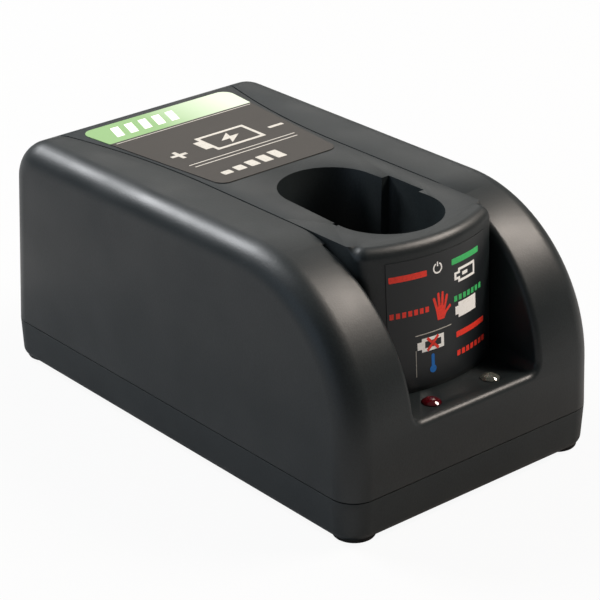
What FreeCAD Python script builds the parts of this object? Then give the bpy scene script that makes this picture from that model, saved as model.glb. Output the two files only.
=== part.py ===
import FreeCAD, Part
import math
import os

# Power tool battery charger, bench type with one stem socket.
# Frame: X across, Y along the length with the indicator front towards -Y, Z up.
# The origin is the middle of the plane that the four rubber feet stand on.

# Outer case
case_length = 190.0
case_width = 113.0
seam_z = 16.2
top_at_middle = 88.0
top_slope = 0.015
wall_draft = 1.45
edge_radius = 9.5
front_sweep_radius = 56.0
back_top_radius = 15.0
wall = 2.6

# Base tray
tray_bottom_z = 0.7
tray_floor = 2.5
tray_wall = 2.4
tray_draft = 3.0
tray_bottom_radius = 3.6
seam_gap = 0.4

# Feet, close under the tray corners
foot_radius = 7.3
foot_rim_radius = 0.8
foot_side_inset = 9.6
foot_end_inset = 9.0
foot_pocket = 2.9
foot_pad_wall = 1.4
foot_pad_roof = 1.6

# Front recess and indicator ledge
ledge_rise = 20.5
recess_half_low = 28.0
recess_half_high = 30.3
recess_corner_radius = 4.0
horn_edge_radius = 2.4
recess_depth = 43.0

# Centre strip let into the top
strip_gap = 0.6
strip_flare_inset = 105.0
strip_flare_radius = 285.0
strip_tail_rise = 24.0
strip_front_inset = 59.0

# Socket tower
tower_top_inset = 19.4
tower_foot_inset = 16.0
tower_front_radius = 60.0
tower_corner_radius = 5.0
tower_corner_kink = 8.0
tower_nose_radius = 4.0
tower_length = 49.0
tower_side_gap = 0.6
tower_foot_gap = 0.2

# Socket well for the battery stem
well_front_inset = 47.0
well_run = 28.0
well_back_radius = 18.3
well_front_radius = 19.8
well_wall = 2.0
well_depth = 63.8
well_floor = 2.4
well_hole_gap = 0.5
key_slot_depth = 2.4
key_slot_margins = (5.0, 5.5)
key_slot_drop = 33.8
notch_depth = 1.0
notch_start = 1.4
notch_width = 2.2
notch_drop = 12.0

# Hooks that hold the strip under the housing roof
tab_insets = (83.0, 135.0)
tab_reach = 7.0
tab_root = 5.0
tab_half_length = 5.0
tab_thick = 2.0

# Case screws
boss_side_inset = 12.5
boss_front_inset = 33.0
boss_back_inset = 29.0
boss_radius = 4.2
boss_rib = (12.0, 1.0, 6.0, 50.0)
screw_radius = 1.5
screw_head_radius = 3.0
screw_head_height = 2.0
screw_length = 24.0
screw_clearance = 0.25
screw_seat = 4.5
cross_width = 0.7
cross_depth = 0.8
cross_share = 0.55

# Main board
post_height = 4.0
board_thick = 1.6
board_side_inset = 18.5
board_front_inset = 19.0
board_back_inset = 7.0
board_screw_margins = (5.0, 6.0)
board_screw_length = 4.5
board_screw_head = (2.4, 1.4)
board_hole_gap = 0.2
post_radius = 3.4
board_pilot = 1.1

# Heat sink and power transistor
sink_side_margin = 7.0
sink_front_inset = 65.0
sink_length = 32.0
sink_height = 34.0
sink_plate = 2.0
sink_fins = 6
fin_thick = 1.2
fin_reach = 9.0
fin_foot = 2.0
transistor_size = (4.6, 10.0, 15.0)
transistor_foot = 7.0
leg_pitch = 2.54
leg_size = (0.5, 0.8)
leg_set_back = 1.9

# Capacitors: margin from the board side, inset from the case front, radius and height
input_capacitor = (8.0, 111.0, 8.0, 32.0)
output_capacitor = (5.0, 79.0, 5.0, 22.0)
can_rim_radius = 0.8
can_groove = (0.35, 0.7, 3.5)

# Fuse
fuse_side_margin = 7.0
fuse_back_inset = 31.0
fuse_length = 22.0
fuse_rise = 5.0
fuse_cap_length = 5.0
fuse_glass_radius = 2.4
fuse_cap_radius = 2.6
clip_half_width = 3.2
clip_width = 3.4
clip_offset = 0.8
clip_lip = 1.5
clip_mouth = 1.9

# Indicator lamps
lamp_x = 13.4
lamp_inset = 9.0
lamp_radius = 3.3
lamp_dome = 1.3
lamp_rim = 0.3
lamp_body = 5.5
lamp_flange = 0.6
lamp_hole_gap = 0.15
lamp_leg = 0.25
lamp_leg_pitch = 2.54
lamp_post_gap = 4.3
lamp_post_radius = 1.8
lamp_board_drop = 8.5
lamp_board_thick = 1.2
lamp_board_margin = 3.0
lamp_board_half = 5.0

# Labels
label_thick = 0.25
label_corner = 4.5
label_back_inset = 16.6
label_length = 72.4
label_back_half = 34.0
label_front_half = 26.4
front_label_half = 22.0
front_label_margins = (1.5, 5.4)

# Transformer behind the well
core_back_inset = 57.0
core_width = 50.0
core_depth = 24.0
core_height = 42.0
core_leg = 9.0
core_yoke = 8.0
core_centre_leg = 16.0
bobbin_wall = 1.2
bobbin_gap = 0.3
bobbin_flange = 9.0
winding_side_gap = 0.8
winding_corner = 2.5

# Spring contacts at the bottom of the well, heights above its floor
contact_pitch = 9.0
contact_width = 5.0
contact_thick = 0.6
contact_root = 2.2
contact_pivot = 4.0
contact_straight = 4.0
contact_tip = 21.0
contact_bow_drop = 5.0
contact_bow = 2.2
contact_tip_shift = 0.4
contact_slot_gap = 0.35
carrier_margin = 4.0
carrier_half_length = 7.0
carrier_height = 5.5
carrier_corner = 1.5
terminal_radius = 0.9
terminal_gap = 0.3
terminal_reach = 1.5

# Mains inlet at the rear
inlet_screw_gap = 17.0
inlet_half = 10.5
inlet_rise = 2.5
inlet_height = 13.0
inlet_depth = 17.0
inlet_set_back = 0.6
inlet_gap = 0.3
inlet_foot = (1.0, 7.0)
inlet_bay_depth = 9.0
inlet_bay_radius = 4.0
inlet_bay_waist = 3.0
pin_radius = 1.2
pin_tip_radius = 0.6
pin_pitch = 8.0
pin_length = 8.0

# Places that follow from the sizes above
front_y = -case_length / 2
back_y = case_length / 2
side_x = case_width / 2
ledge_z = seam_z + ledge_rise
strip_tail_z = seam_z + strip_tail_rise
foot_x = side_x - foot_side_inset
foot_y = back_y - foot_end_inset
recess_back_y = front_y + recess_depth
strip_flare_start_y = front_y + strip_flare_inset
strip_front_y = front_y + strip_front_inset
tower_front_top_y = front_y + tower_top_inset
tower_front_foot_y = front_y + tower_foot_inset
tower_back_y = tower_foot_inset + front_y + tower_length
well_front_y = front_y + well_front_inset
well_back_y = well_front_y + well_run
well_floor_z = top_at_middle - well_depth
key_slot_y = (well_front_y + key_slot_margins[0], well_back_y - key_slot_margins[1])
key_slot_low_z = top_at_middle - key_slot_drop
notch_y = (well_front_y + notch_start, well_front_y + notch_start + notch_width)
boss_x = side_x - boss_side_inset
tray_floor_z = tray_bottom_z + tray_floor
board_z = tray_floor_z + post_height
board_top_z = board_z + board_thick
board_half_x = side_x - board_side_inset
board_y = (front_y + board_front_inset, back_y - board_back_inset)
board_screw_x = board_half_x - board_screw_margins[0]
board_screw_y = (board_y[0] + board_screw_margins[1], board_y[1] - board_screw_margins[1])
lamp_y = front_y + lamp_inset
lamp_post_x = lamp_x + lamp_radius + lamp_post_gap
core_y = back_y - core_back_inset
contact_y = (well_front_y + well_back_y) / 2
contact_root_z = well_floor_z + contact_root
contact_pivot_z = well_floor_z + contact_pivot
contact_tip_z = well_floor_z + contact_tip
carrier_top_z = well_floor_z + carrier_height
inlet_x = inlet_screw_gap - board_screw_x
inlet_z = (seam_z + inlet_rise, seam_z + inlet_rise + inlet_height)

V = FreeCAD.Vector
X_AXIS = V(1, 0, 0)
Y_AXIS = V(0, 1, 0)
Z_AXIS = V(0, 0, 1)
FAR = 300.0

draft = math.tan(math.radians(wall_draft))
parts = {}


def box(x0, x1, y0, y1, z0, z1):
    return Part.makeBox(x1 - x0, y1 - y0, z1 - z0, V(x0, y0, z0))


def cylinder(x, y, z0, z1, radius):
    return Part.makeCylinder(radius, z1 - z0, V(x, y, z0), Z_AXIS)


def fuse_all(solids):
    return solids[0].multiFuse(solids[1:]).removeSplitter()


def polygon_face(points):
    return Part.Face(Part.makePolygon(points + [points[0]]))


def top_z(y):
    """Height of the sloped top plane at a place along the length."""
    return top_at_middle - top_slope * y


def under_top(drop):
    """Everything below the sloped top plane lowered by drop."""
    points = [
        V(-FAR, -FAR, -FAR),
        V(-FAR, FAR, -FAR),
        V(-FAR, FAR, top_z(FAR) - drop),
        V(-FAR, -FAR, top_z(-FAR) - drop),
    ]
    return polygon_face(points).extrude(V(2 * FAR, 0, 0))


def edges_where(shape, test):
    return [edge for edge in shape.Edges if test(edge)]


def high_cross_edge(form, end):
    """The upper edge across the case at the front (end -1) or the back (end 1)."""
    def across(edge):
        bounds = edge.BoundBox
        flat = bounds.YLength < 0.01 and bounds.ZLength < 0.01 and bounds.XLength > 10
        return flat and edge.CenterOfMass.z > seam_z + 30

    return max(edges_where(form, across), key=lambda e: end * e.CenterOfMass.y)


def side_edges(form, bottom):
    """All edges round the -X side face of the case except its bottom edge."""
    side = min(form.Faces, key=lambda face: face.CenterOfMass.x)
    return [e for e in side.Edges if e.BoundBox.ZMax > bottom + 0.01]


def case_form(inset, bottom):
    """The closed case shape pulled in by inset and cut flat at the height bottom."""
    half_y = case_length / 2 - inset
    half_x = case_width / 2 - inset
    low = draft * (bottom - seam_z)
    roof = 40.0
    high_z = top_at_middle + roof
    high = draft * (high_z - seam_z)
    side_view = [
        V(-FAR, -half_y + low, bottom),
        V(-FAR, -half_y + high, high_z),
        V(-FAR, half_y - high, high_z),
        V(-FAR, half_y - low, bottom),
    ]
    end_view = [
        V(-half_x + low, -FAR, bottom),
        V(-half_x + high, -FAR, high_z),
        V(half_x - high, -FAR, high_z),
        V(half_x - low, -FAR, bottom),
    ]
    form = polygon_face(side_view).extrude(V(2 * FAR, 0, 0))
    form = form.common(polygon_face(end_view).extrude(V(0, 2 * FAR, 0)))
    form = form.common(under_top(inset))
    form = form.makeFillet(front_sweep_radius - inset, [high_cross_edge(form, -1)])
    form = form.makeFillet(back_top_radius - inset, [high_cross_edge(form, 1)])
    half = form.common(box(-FAR, 0, -FAR, FAR, -FAR, FAR))
    half = half.makeFillet(edge_radius - inset, side_edges(half, bottom))
    return half.fuse(half.mirror(V(0, 0, 0), X_AXIS)).removeSplitter()


def recess_form(grow, end_y):
    """The front recess between the two horns as far as end_y, grown outwards by grow."""
    rise = top_at_middle - ledge_z
    lean = (recess_half_high - recess_half_low) / rise
    low_z = ledge_z - grow
    high_z = top_at_middle + 30
    low_half = recess_half_low + grow - lean * grow
    high_half = low_half + lean * (high_z - low_z)
    points = [
        V(-low_half, -FAR, low_z),
        V(-high_half, -FAR, high_z),
        V(high_half, -FAR, high_z),
        V(low_half, -FAR, low_z),
    ]
    form = polygon_face(points).extrude(V(0, FAR + end_y + grow, 0))
    floor_corners = edges_where(
        form,
        lambda e: abs(e.BoundBox.ZMax - low_z) < 0.01
        and abs(e.BoundBox.ZMin - low_z) < 0.01
        and e.BoundBox.YLength > 50,
    )
    return form.makeFillet(recess_corner_radius + grow, floor_corners)


def strip_half(y):
    """Half width of the strip at a place along the length."""
    run = max(y - strip_flare_start_y, 0)
    return recess_half_high + strip_flare_radius - math.sqrt(strip_flare_radius ** 2 - run ** 2)


def strip_plan(inset):
    """Prism over the centre strip: parallel in front, flaring towards the back."""
    half = recess_half_high - inset
    end_y = back_y + 10

    def flare(y):
        return strip_half(y) - inset

    middle_y = (strip_flare_start_y + end_y) / 2
    edges = []
    for side in (1, -1):
        edges.append(Part.makeLine(
            V(side * half, recess_back_y - 1, strip_tail_z + inset),
            V(side * half, strip_flare_start_y, strip_tail_z + inset)))
        edges.append(Part.Arc(
            V(side * half, strip_flare_start_y, strip_tail_z + inset),
            V(side * flare(middle_y), middle_y, strip_tail_z + inset),
            V(side * flare(end_y), end_y, strip_tail_z + inset)).toShape())
    edges.append(Part.makeLine(
        V(-half, recess_back_y - 1, strip_tail_z + inset),
        V(half, recess_back_y - 1, strip_tail_z + inset)))
    edges.append(Part.makeLine(
        V(-flare(end_y), end_y, strip_tail_z + inset),
        V(flare(end_y), end_y, strip_tail_z + inset)))
    wire = Part.Wire(Part.__sortEdges__(edges))
    return Part.Face(wire).extrude(V(0, 0, FAR))


def tower_wire(half, bow_y, inset, z, end_y):
    """Plan of the socket tower: bowed front, small corners and straight sides."""
    half = half - inset
    front_radius = tower_front_radius - inset
    corner = tower_corner_radius - inset
    centre_y = bow_y + tower_front_radius
    kink = math.radians(tower_corner_kink)
    corner_x = half - corner * math.cos(kink)
    corner_y = centre_y - math.sqrt((front_radius - corner) ** 2 - corner_x ** 2)
    side_y = corner_y - corner * math.sin(kink)
    aim = math.atan2(corner_y - centre_y, corner_x)
    start = V(front_radius * math.cos(aim), centre_y + front_radius * math.sin(aim), z)
    middle_angle = (aim - kink) / 2
    middle = V(corner_x + corner * math.cos(middle_angle), corner_y + corner * math.sin(middle_angle), z)
    end = V(half, side_y, z)

    def mirror(point):
        return V(-point.x, point.y, point.z)

    edges = [
        Part.makeLine(V(-half, end_y, z), mirror(end)),
        Part.Arc(mirror(end), mirror(middle), mirror(start)).toShape(),
        Part.Arc(mirror(start), V(0, centre_y - front_radius, z), start).toShape(),
        Part.Arc(start, middle, end).toShape(),
        Part.makeLine(end, V(half, end_y, z)),
        Part.makeLine(V(half, end_y, z), V(-half, end_y, z)),
    ]
    return Part.Wire(edges)


def tower_form(inset, end_y):
    """The tower as a closed tapered block up to the top plane lowered by inset."""
    foot_half = recess_half_low - tower_side_gap
    high_half = recess_half_high - tower_side_gap
    rise = top_at_middle - ledge_z
    over = 12.0
    lean_x = (high_half - foot_half) / rise
    lean_y = (tower_front_top_y - tower_front_foot_y) / rise
    low = tower_wire(foot_half, tower_front_foot_y, inset, ledge_z, end_y)
    high = tower_wire(high_half + lean_x * over, tower_front_top_y + lean_y * over, inset,
                      top_at_middle + over, end_y)
    block = Part.makeLoft([low, high], True, True)
    return block.common(under_top(inset))


def round_tower_nose(block):
    """Bullnose along the bowed front edge of the tower top."""
    nose = edges_where(
        block,
        lambda e: e.BoundBox.ZMin > top_at_middle - 1
        and e.BoundBox.YMax < tower_front_top_y + 15
        and e.BoundBox.XLength > 1,
    )
    return block.makeFillet(tower_nose_radius, nose)


def well_form(grow, low_z, high_z):
    """The rounded slot that takes the battery stem, grown outwards by grow."""
    back = well_back_radius + grow
    front = well_front_radius + grow
    edges = [
        Part.Arc(V(back, well_back_y, low_z), V(0, well_back_y + back, low_z),
                 V(-back, well_back_y, low_z)).toShape(),
        Part.makeLine(V(-back, well_back_y, low_z), V(-front, well_front_y, low_z)),
        Part.Arc(V(-front, well_front_y, low_z), V(0, well_front_y - front, low_z),
                 V(front, well_front_y, low_z)).toShape(),
        Part.makeLine(V(front, well_front_y, low_z), V(back, well_back_y, low_z)),
    ]
    return Part.Face(Part.Wire(edges)).extrude(V(0, 0, high_z - low_z))


def well_side(y):
    """Half width of the well between its two round ends."""
    share = (well_back_y - y) / (well_back_y - well_front_y)
    return well_back_radius + share * (well_front_radius - well_back_radius)


def key_slot(grow, low_z, high_z):
    """The wide polarising slot in the +X wall of the well."""
    reach = well_side(key_slot_y[0]) + key_slot_depth
    return box(well_back_radius - 3, reach + grow, key_slot_y[0] - grow, key_slot_y[1] + grow,
               low_z - grow, high_z)


def boss_places():
    """Centres of the four case screw bosses."""
    ends = (front_y + boss_front_inset, back_y - boss_back_inset)
    return [(side * boss_x, y) for side in (-1, 1) for y in ends]


def board_screw_places():
    """Centres of the four board screws."""
    return [(side * board_screw_x, y) for side in (-1, 1) for y in board_screw_y]


def foot_places():
    """Centres of the four feet."""
    return [(side * foot_x, end * foot_y) for side in (-1, 1) for end in (-1, 1)]


def make_upper_housing():
    outer = case_form(0, seam_z).cut(recess_form(0, recess_back_y))
    inner_edges = edges_where(
        outer,
        lambda e: e.BoundBox.XMin > -recess_half_high - 1.5
        and e.BoundBox.XMax < recess_half_high + 1.5
        and e.CenterOfMass.y < recess_back_y
        and not on_recess_floor(e),
    )
    outer = outer.makeFillet(horn_edge_radius, inner_edges)
    inner = case_form(wall, seam_z - 1).cut(recess_form(wall, recess_back_y))
    shell = outer.cut(inner)
    for x, y in boss_places():
        boss = cylinder(x, y, seam_z, top_at_middle + 5, boss_radius)
        boss = boss.common(case_form(wall / 2, seam_z))
        reach, half, low, high = boss_rib
        rib_end = x + math.copysign(reach, x)
        rib = box(min(x, rib_end), max(x, rib_end), y - half, y + half, seam_z + low, seam_z + high)
        rib = rib.common(case_form(wall / 2, seam_z))
        shell = shell.fuse(boss).fuse(rib)
    for side in (-1, 1):
        post = cylinder(side * lamp_post_x, lamp_y, ledge_z - lamp_board_drop, ledge_z - wall / 2,
                        lamp_post_radius)
        shell = shell.fuse(post)
    shell = shell.cut(strip_plan(0))
    shell = shell.cut(well_form(well_wall + well_hole_gap, seam_z, top_at_middle + 5))
    shell = shell.cut(box(-recess_half_low, recess_half_low, recess_back_y - 1, tower_back_y,
                          ledge_z - wall - 1, strip_tail_z + 1))
    for x, y in boss_places():
        shell = shell.cut(cylinder(x, y, seam_z - 1, seam_z + screw_length, screw_radius))
    for side in (-1, 1):
        hole = cylinder(side * lamp_x, lamp_y, ledge_z - 5, ledge_z + 5, lamp_radius + lamp_hole_gap)
        shell = shell.cut(hole)
    opening = box(inlet_x - inlet_half - inlet_gap, inlet_x + inlet_half + inlet_gap,
                  back_y - back_top_radius, FAR,
                  inlet_z[0] - inlet_gap, inlet_z[1] + inlet_gap)
    return shell.cut(opening).removeSplitter()


def on_recess_floor(edge):
    """True for edges of the recess that are inside corners or lie on its back face."""
    bounds = edge.BoundBox
    back_face = bounds.YMin > recess_back_y - 0.01
    along_floor = bounds.YLength > 20 and bounds.ZMax < ledge_z + recess_corner_radius + 0.2
    return back_face or along_floor


def tab_places():
    """Ends across the case, and the place along it, of each hook under the strip edges."""
    places = []
    for inset in tab_insets:
        y = front_y + inset
        root = strip_half(y) - tab_root
        tip = strip_half(y) + tab_reach
        places += [(root, tip, y), (-tip, -root, y)]
    return places


def make_socket_moulding():
    plate = case_form(0, seam_z).cut(case_form(wall, seam_z - 1)).common(strip_plan(strip_gap))
    plate = plate.common(box(-FAR, FAR, strip_front_y, FAR, 0, FAR))
    block = round_tower_nose(tower_form(0, tower_back_y))
    hollow = tower_form(wall, tower_back_y + 1)
    tower = block.cut(hollow).common(recess_form(-tower_foot_gap, 0))
    top_gap = top_z(well_front_y) - wall / 2
    tube = well_form(well_wall, well_floor_z - well_floor, top_gap)
    slot_case = key_slot(well_wall, key_slot_low_z, top_gap)
    below_top = under_top(wall / 2)
    moulding = fuse_all([plate, tower, tube.common(below_top), slot_case.common(below_top)])
    for x0, x1, y in tab_places():
        tab = box(x0, x1, y - tab_half_length, y + tab_half_length, ledge_z, FAR)
        tab = tab.common(case_form(wall, seam_z)).cut(case_form(wall + tab_thick, seam_z - 1))
        moulding = moulding.fuse(tab)
    moulding = moulding.cut(well_form(0, well_floor_z, FAR))
    moulding = moulding.cut(key_slot(0, key_slot_low_z, FAR))
    notch = box(-well_side(notch_y[0]) - notch_depth, -well_back_radius + 2, notch_y[0], notch_y[1],
                top_at_middle - notch_drop, FAR)
    moulding = moulding.cut(notch)
    for x in contact_places():
        moulding = moulding.cut(cylinder(x, contact_y, well_floor_z - 5, well_floor_z + 1,
                                         terminal_radius + terminal_gap))
    return moulding.removeSplitter()


def tray_wire(inset, z):
    """Rounded rectangle of the case plan at the seam, pulled in by inset."""
    half_x = case_width / 2 - inset
    half_y = case_length / 2 - inset
    radius = edge_radius - inset
    corners = [(1, 1, 0), (-1, 1, 90), (-1, -1, 180), (1, -1, 270)]
    edges = []
    last = None
    first = None
    for sx, sy, turn in corners:
        centre = V(sx * (half_x - radius), sy * (half_y - radius), z)
        points = []
        for step in (0, 45, 90):
            angle = math.radians(turn + step)
            points.append(centre + V(radius * math.cos(angle), radius * math.sin(angle), 0))
        if last is not None:
            edges.append(Part.makeLine(last, points[0]))
        edges.append(Part.Arc(points[0], points[1], points[2]).toShape())
        first = first or points[0]
        last = points[2]
    edges.append(Part.makeLine(last, first))
    return Part.Wire(edges)


def make_base_tray():
    height = seam_z - seam_gap - tray_bottom_z
    low_inset = height * math.tan(math.radians(tray_draft))
    sections = [tray_wire(low_inset, tray_bottom_z), tray_wire(0.0, seam_z - seam_gap)]
    outer = Part.makeLoft(sections, True, True)
    bottom_edges = edges_where(outer, lambda e: e.BoundBox.ZMax < tray_bottom_z + 0.01)
    outer = outer.makeFillet(tray_bottom_radius, bottom_edges)
    inner = Part.makeLoft([
        tray_wire(low_inset + tray_wall, tray_bottom_z + tray_floor),
        tray_wire(tray_wall, seam_z + 1)], True, True)
    tray = outer.cut(inner)
    pad_top = tray_bottom_z + foot_pocket + foot_pad_roof
    for x, y in foot_places():
        pad = cylinder(x, y, tray_bottom_z, pad_top, foot_radius + foot_pad_wall)
        tray = tray.fuse(pad.common(outer))
    for x, y in boss_places():
        tray = tray.fuse(cylinder(x, y, tray_floor_z - 1, seam_z - seam_gap, boss_radius))
    for x, y in board_screw_places():
        tray = tray.fuse(cylinder(x, y, tray_floor_z - 1, board_z, post_radius))
    for x, y in boss_places():
        tray = tray.cut(cylinder(x, y, 0, seam_z + 1, screw_radius + screw_clearance))
        tray = tray.cut(cylinder(x, y, 0, tray_bottom_z + screw_seat, screw_head_radius + screw_clearance))
    for x, y in board_screw_places():
        tray = tray.cut(cylinder(x, y, tray_floor_z, board_z + 1, board_pilot))
    for x, y in foot_places():
        tray = tray.cut(cylinder(x, y, 0, tray_bottom_z + foot_pocket, foot_radius))
    return tray.removeSplitter()


def make_feet():
    feet = []
    for x, y in foot_places():
        foot = cylinder(x, y, 0, tray_bottom_z + foot_pocket, foot_radius)
        rim = edges_where(foot, lambda e: e.BoundBox.ZMax < 0.01)
        feet.append(foot.makeFillet(foot_rim_radius, rim))
    return Part.makeCompound(feet)


def screw(x, y, head_z, length, radius, head_radius, head_height, up):
    """Pan head screw; up is 1 when the shank points up from the head."""
    shank = cylinder(x, y, min(head_z, head_z + up * length), max(head_z, head_z + up * length), radius)
    head = cylinder(x, y, min(head_z, head_z - up * head_height), max(head_z, head_z - up * head_height),
                    head_radius)
    long = head_radius * cross_share
    short = cross_width / 2
    face_z = head_z - up * head_height
    low = face_z - cross_depth
    high = face_z + cross_depth
    slot = box(x - long, x + long, y - short, y + short, low, high)
    slot = slot.fuse(box(x - short, x + short, y - long, y + long, low, high))
    return shank.fuse(head).cut(slot)


def make_case_screws():
    head_z = tray_bottom_z + screw_seat
    return Part.makeCompound([
        screw(x, y, head_z, screw_length + 4, screw_radius, screw_head_radius, screw_head_height, 1)
        for x, y in boss_places()])


def make_board_screws():
    head_radius, head_height = board_screw_head
    return Part.makeCompound([
        screw(x, y, board_top_z, board_screw_length, board_pilot, head_radius, head_height, -1)
        for x, y in board_screw_places()])


def make_main_board():
    board = box(-board_half_x, board_half_x, board_y[0], board_y[1], board_z, board_top_z)
    for x, y in board_screw_places():
        board = board.cut(cylinder(x, y, board_z - 1, board_z + 5, board_pilot + board_hole_gap))
    return board


def make_transformer():
    base = board_top_z
    half_w = core_width / 2
    half_d = core_depth / 2
    body = box(-half_w, half_w, core_y - half_d, core_y + half_d, base, base + core_height)
    window_low = base + core_yoke
    window_high = base + core_height - core_yoke
    inner = half_w - core_leg
    half_leg = core_centre_leg / 2
    for side in (-1, 1):
        x0 = min(side * half_leg, side * inner)
        x1 = max(side * half_leg, side * inner)
        body = body.cut(box(x0, x1, core_y - half_d - 1, core_y + half_d + 1, window_low, window_high))
    tube_in = (half_leg + bobbin_gap, half_d + bobbin_gap)
    tube_out = (tube_in[0] + bobbin_wall, tube_in[1] + bobbin_wall)
    flange = (inner - bobbin_gap, half_d + bobbin_flange)
    low = window_low + bobbin_gap
    high = window_high - bobbin_gap

    def block(half, z0, z1):
        return box(-half[0], half[0], core_y - half[1], core_y + half[1], z0, z1)

    bobbin = fuse_all([
        block(tube_out, low, high),
        block(flange, low, low + bobbin_wall),
        block(flange, high - bobbin_wall, high),
    ]).cut(block(tube_in, low - 1, high + 1))
    coil_half = (flange[0] - winding_side_gap, flange[1] - winding_side_gap)
    coil = block(coil_half, low + bobbin_wall, high - bobbin_wall)
    upright = edges_where(coil, lambda e: e.BoundBox.ZLength > 5)
    coil = coil.makeFillet(winding_corner, upright).cut(block(tube_out, low, high))
    return body, bobbin, coil


def sink_place():
    """Inner face of the heat sink plate, and its two ends."""
    start = front_y + sink_front_inset
    return board_half_x - sink_side_margin, start, start + sink_length


def make_heat_sink():
    x0, y0, y1 = sink_place()
    x1 = x0 + sink_plate
    top = board_top_z + sink_height
    fins = [box(x0, x1, y0, y1, board_top_z, top)]
    pitch = (sink_length - fin_thick) / (sink_fins - 1)
    for i in range(sink_fins):
        y = y0 + i * pitch
        fins.append(box(x1 - sink_plate / 4, x1 + fin_reach, y, y + fin_thick, board_top_z + fin_foot, top))
    return fuse_all(fins)


def make_power_transistor():
    face, y0, y1 = sink_place()
    y = (y0 + y1) / 2
    thick, width, height = transistor_size
    low = board_top_z + transistor_foot
    package = box(face - thick, face, y - width / 2, y + width / 2, low, low + height)
    leg_thick, leg_width = leg_size
    x = face - leg_set_back
    legs = []
    for i in (-1, 0, 1):
        middle = y + i * leg_pitch
        legs.append(box(x - leg_thick, x, middle - leg_width / 2, middle + leg_width / 2,
                        board_top_z, low + leg_width / 4))
    return fuse_all([package] + legs)


def make_capacitor(sizes):
    side_margin, inset, radius, height = sizes
    x = side_margin - board_half_x
    y = front_y + inset
    can = cylinder(x, y, board_top_z, board_top_z + height, radius)
    rims = edges_where(can, lambda e: e.BoundBox.ZLength < 0.01)
    can = can.makeFillet(can_rim_radius, rims)
    stand_off, groove_radius, rise = can_groove
    groove = Part.makeTorus(radius + stand_off, groove_radius, V(x, y, board_top_z + rise), Z_AXIS)
    return can.cut(groove)


def make_fuse():
    x = fuse_side_margin - board_half_x
    z = board_top_z + fuse_rise
    y1 = back_y - fuse_back_inset
    y0 = y1 - fuse_length

    def rod(start, length, radius):
        return Part.makeCylinder(radius, length, V(x, start, z), Y_AXIS)

    glass = rod(y0 + fuse_cap_length, fuse_length - 2 * fuse_cap_length, fuse_glass_radius)
    caps = [rod(y0, fuse_cap_length, fuse_cap_radius),
            rod(y1 - fuse_cap_length, fuse_cap_length, fuse_cap_radius)]
    clips = []
    for start in (y0 + clip_offset, y1 - clip_offset - clip_width):
        clip = box(x - clip_half_width, x + clip_half_width, start, start + clip_width,
                   board_top_z, z + clip_lip)
        clip = clip.cut(rod(start - 1, clip_width + 2, fuse_cap_radius))
        clip = clip.cut(box(x - clip_mouth, x + clip_mouth, start - 1, start + clip_width + 1,
                            z, z + fuse_rise))
        clips.append(clip)
    return glass, Part.makeCompound(caps), Part.makeCompound(clips)


def make_inlet():
    back = back_y - draft * (inlet_z[0] - seam_z) - inlet_set_back
    front = back - inlet_depth
    floor = back - inlet_bay_depth
    low, high = inlet_z
    body = box(inlet_x - inlet_half, inlet_x + inlet_half, front, back, low, high)
    margin, length = inlet_foot
    foot = box(inlet_x - inlet_half + margin, inlet_x + inlet_half - margin, front, front + length,
               board_top_z, low + 1)
    body = body.fuse(foot)
    middle_z = (low + high) / 2
    half_pitch = pin_pitch / 2
    for side in (-1, 1):
        place = V(inlet_x + side * half_pitch, floor, middle_z)
        bay = Part.makeCylinder(inlet_bay_radius, inlet_bay_depth + 1, place, Y_AXIS)
        body = body.cut(bay)
    body = body.cut(box(inlet_x - half_pitch, inlet_x + half_pitch, floor, back + 1,
                        middle_z - inlet_bay_waist, middle_z + inlet_bay_waist))
    pins = []
    for side in (-1, 1):
        place = V(inlet_x + side * half_pitch, floor, middle_z)
        pin = Part.makeCylinder(pin_radius, pin_length, place, Y_AXIS)
        tip = edges_where(pin, lambda e: e.BoundBox.YMin > floor + pin_length - 0.01)
        pins.append(pin.makeFillet(pin_tip_radius, tip))
    return body.removeSplitter(), Part.makeCompound(pins)


def contact_places():
    return [-contact_pitch, 0.0, contact_pitch]


def make_contact(x):
    """Bent spring leaf: a straight foot in the carrier and a bowed tip."""
    half = contact_width / 2
    half_thick = contact_thick / 2
    straight_z = contact_pivot_z + contact_straight
    bow_z = contact_tip_z - contact_bow_drop
    bow_y = contact_y - contact_bow
    tip_y = contact_y - contact_tip_shift
    points = [
        (contact_y - half_thick, contact_root_z),
        (contact_y - half_thick, straight_z),
        (bow_y, bow_z),
        (tip_y, contact_tip_z),
        (tip_y + contact_thick, contact_tip_z),
        (bow_y + contact_thick, bow_z),
        (contact_y + half_thick, straight_z),
        (contact_y + half_thick, contact_root_z),
    ]
    face = polygon_face([V(x - half, y, z) for y, z in points])
    return face.extrude(V(contact_width, 0, 0))


def make_carrier():
    half_x = contact_pitch + contact_width / 2 + carrier_margin
    block = box(-half_x, half_x, contact_y - carrier_half_length, contact_y + carrier_half_length,
                well_floor_z, carrier_top_z)
    upright = edges_where(block, lambda e: e.BoundBox.ZLength > 3)
    block = block.makeFillet(carrier_corner, upright)
    for x in contact_places():
        slot_x = contact_width / 2 + contact_slot_gap
        slot_y = contact_thick / 2 + contact_slot_gap
        block = block.cut(box(x - slot_x, x + slot_x, contact_y - slot_y, contact_y + slot_y,
                              contact_root_z - contact_slot_gap, carrier_top_z + 1))
        block = block.cut(cylinder(x, contact_y, well_floor_z - 1, well_floor_z + terminal_reach,
                                   terminal_radius))
    return block


def make_terminals():
    return Part.makeCompound([
        cylinder(x, contact_y, board_top_z, well_floor_z + terminal_reach, terminal_radius)
        for x in contact_places()])


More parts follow.
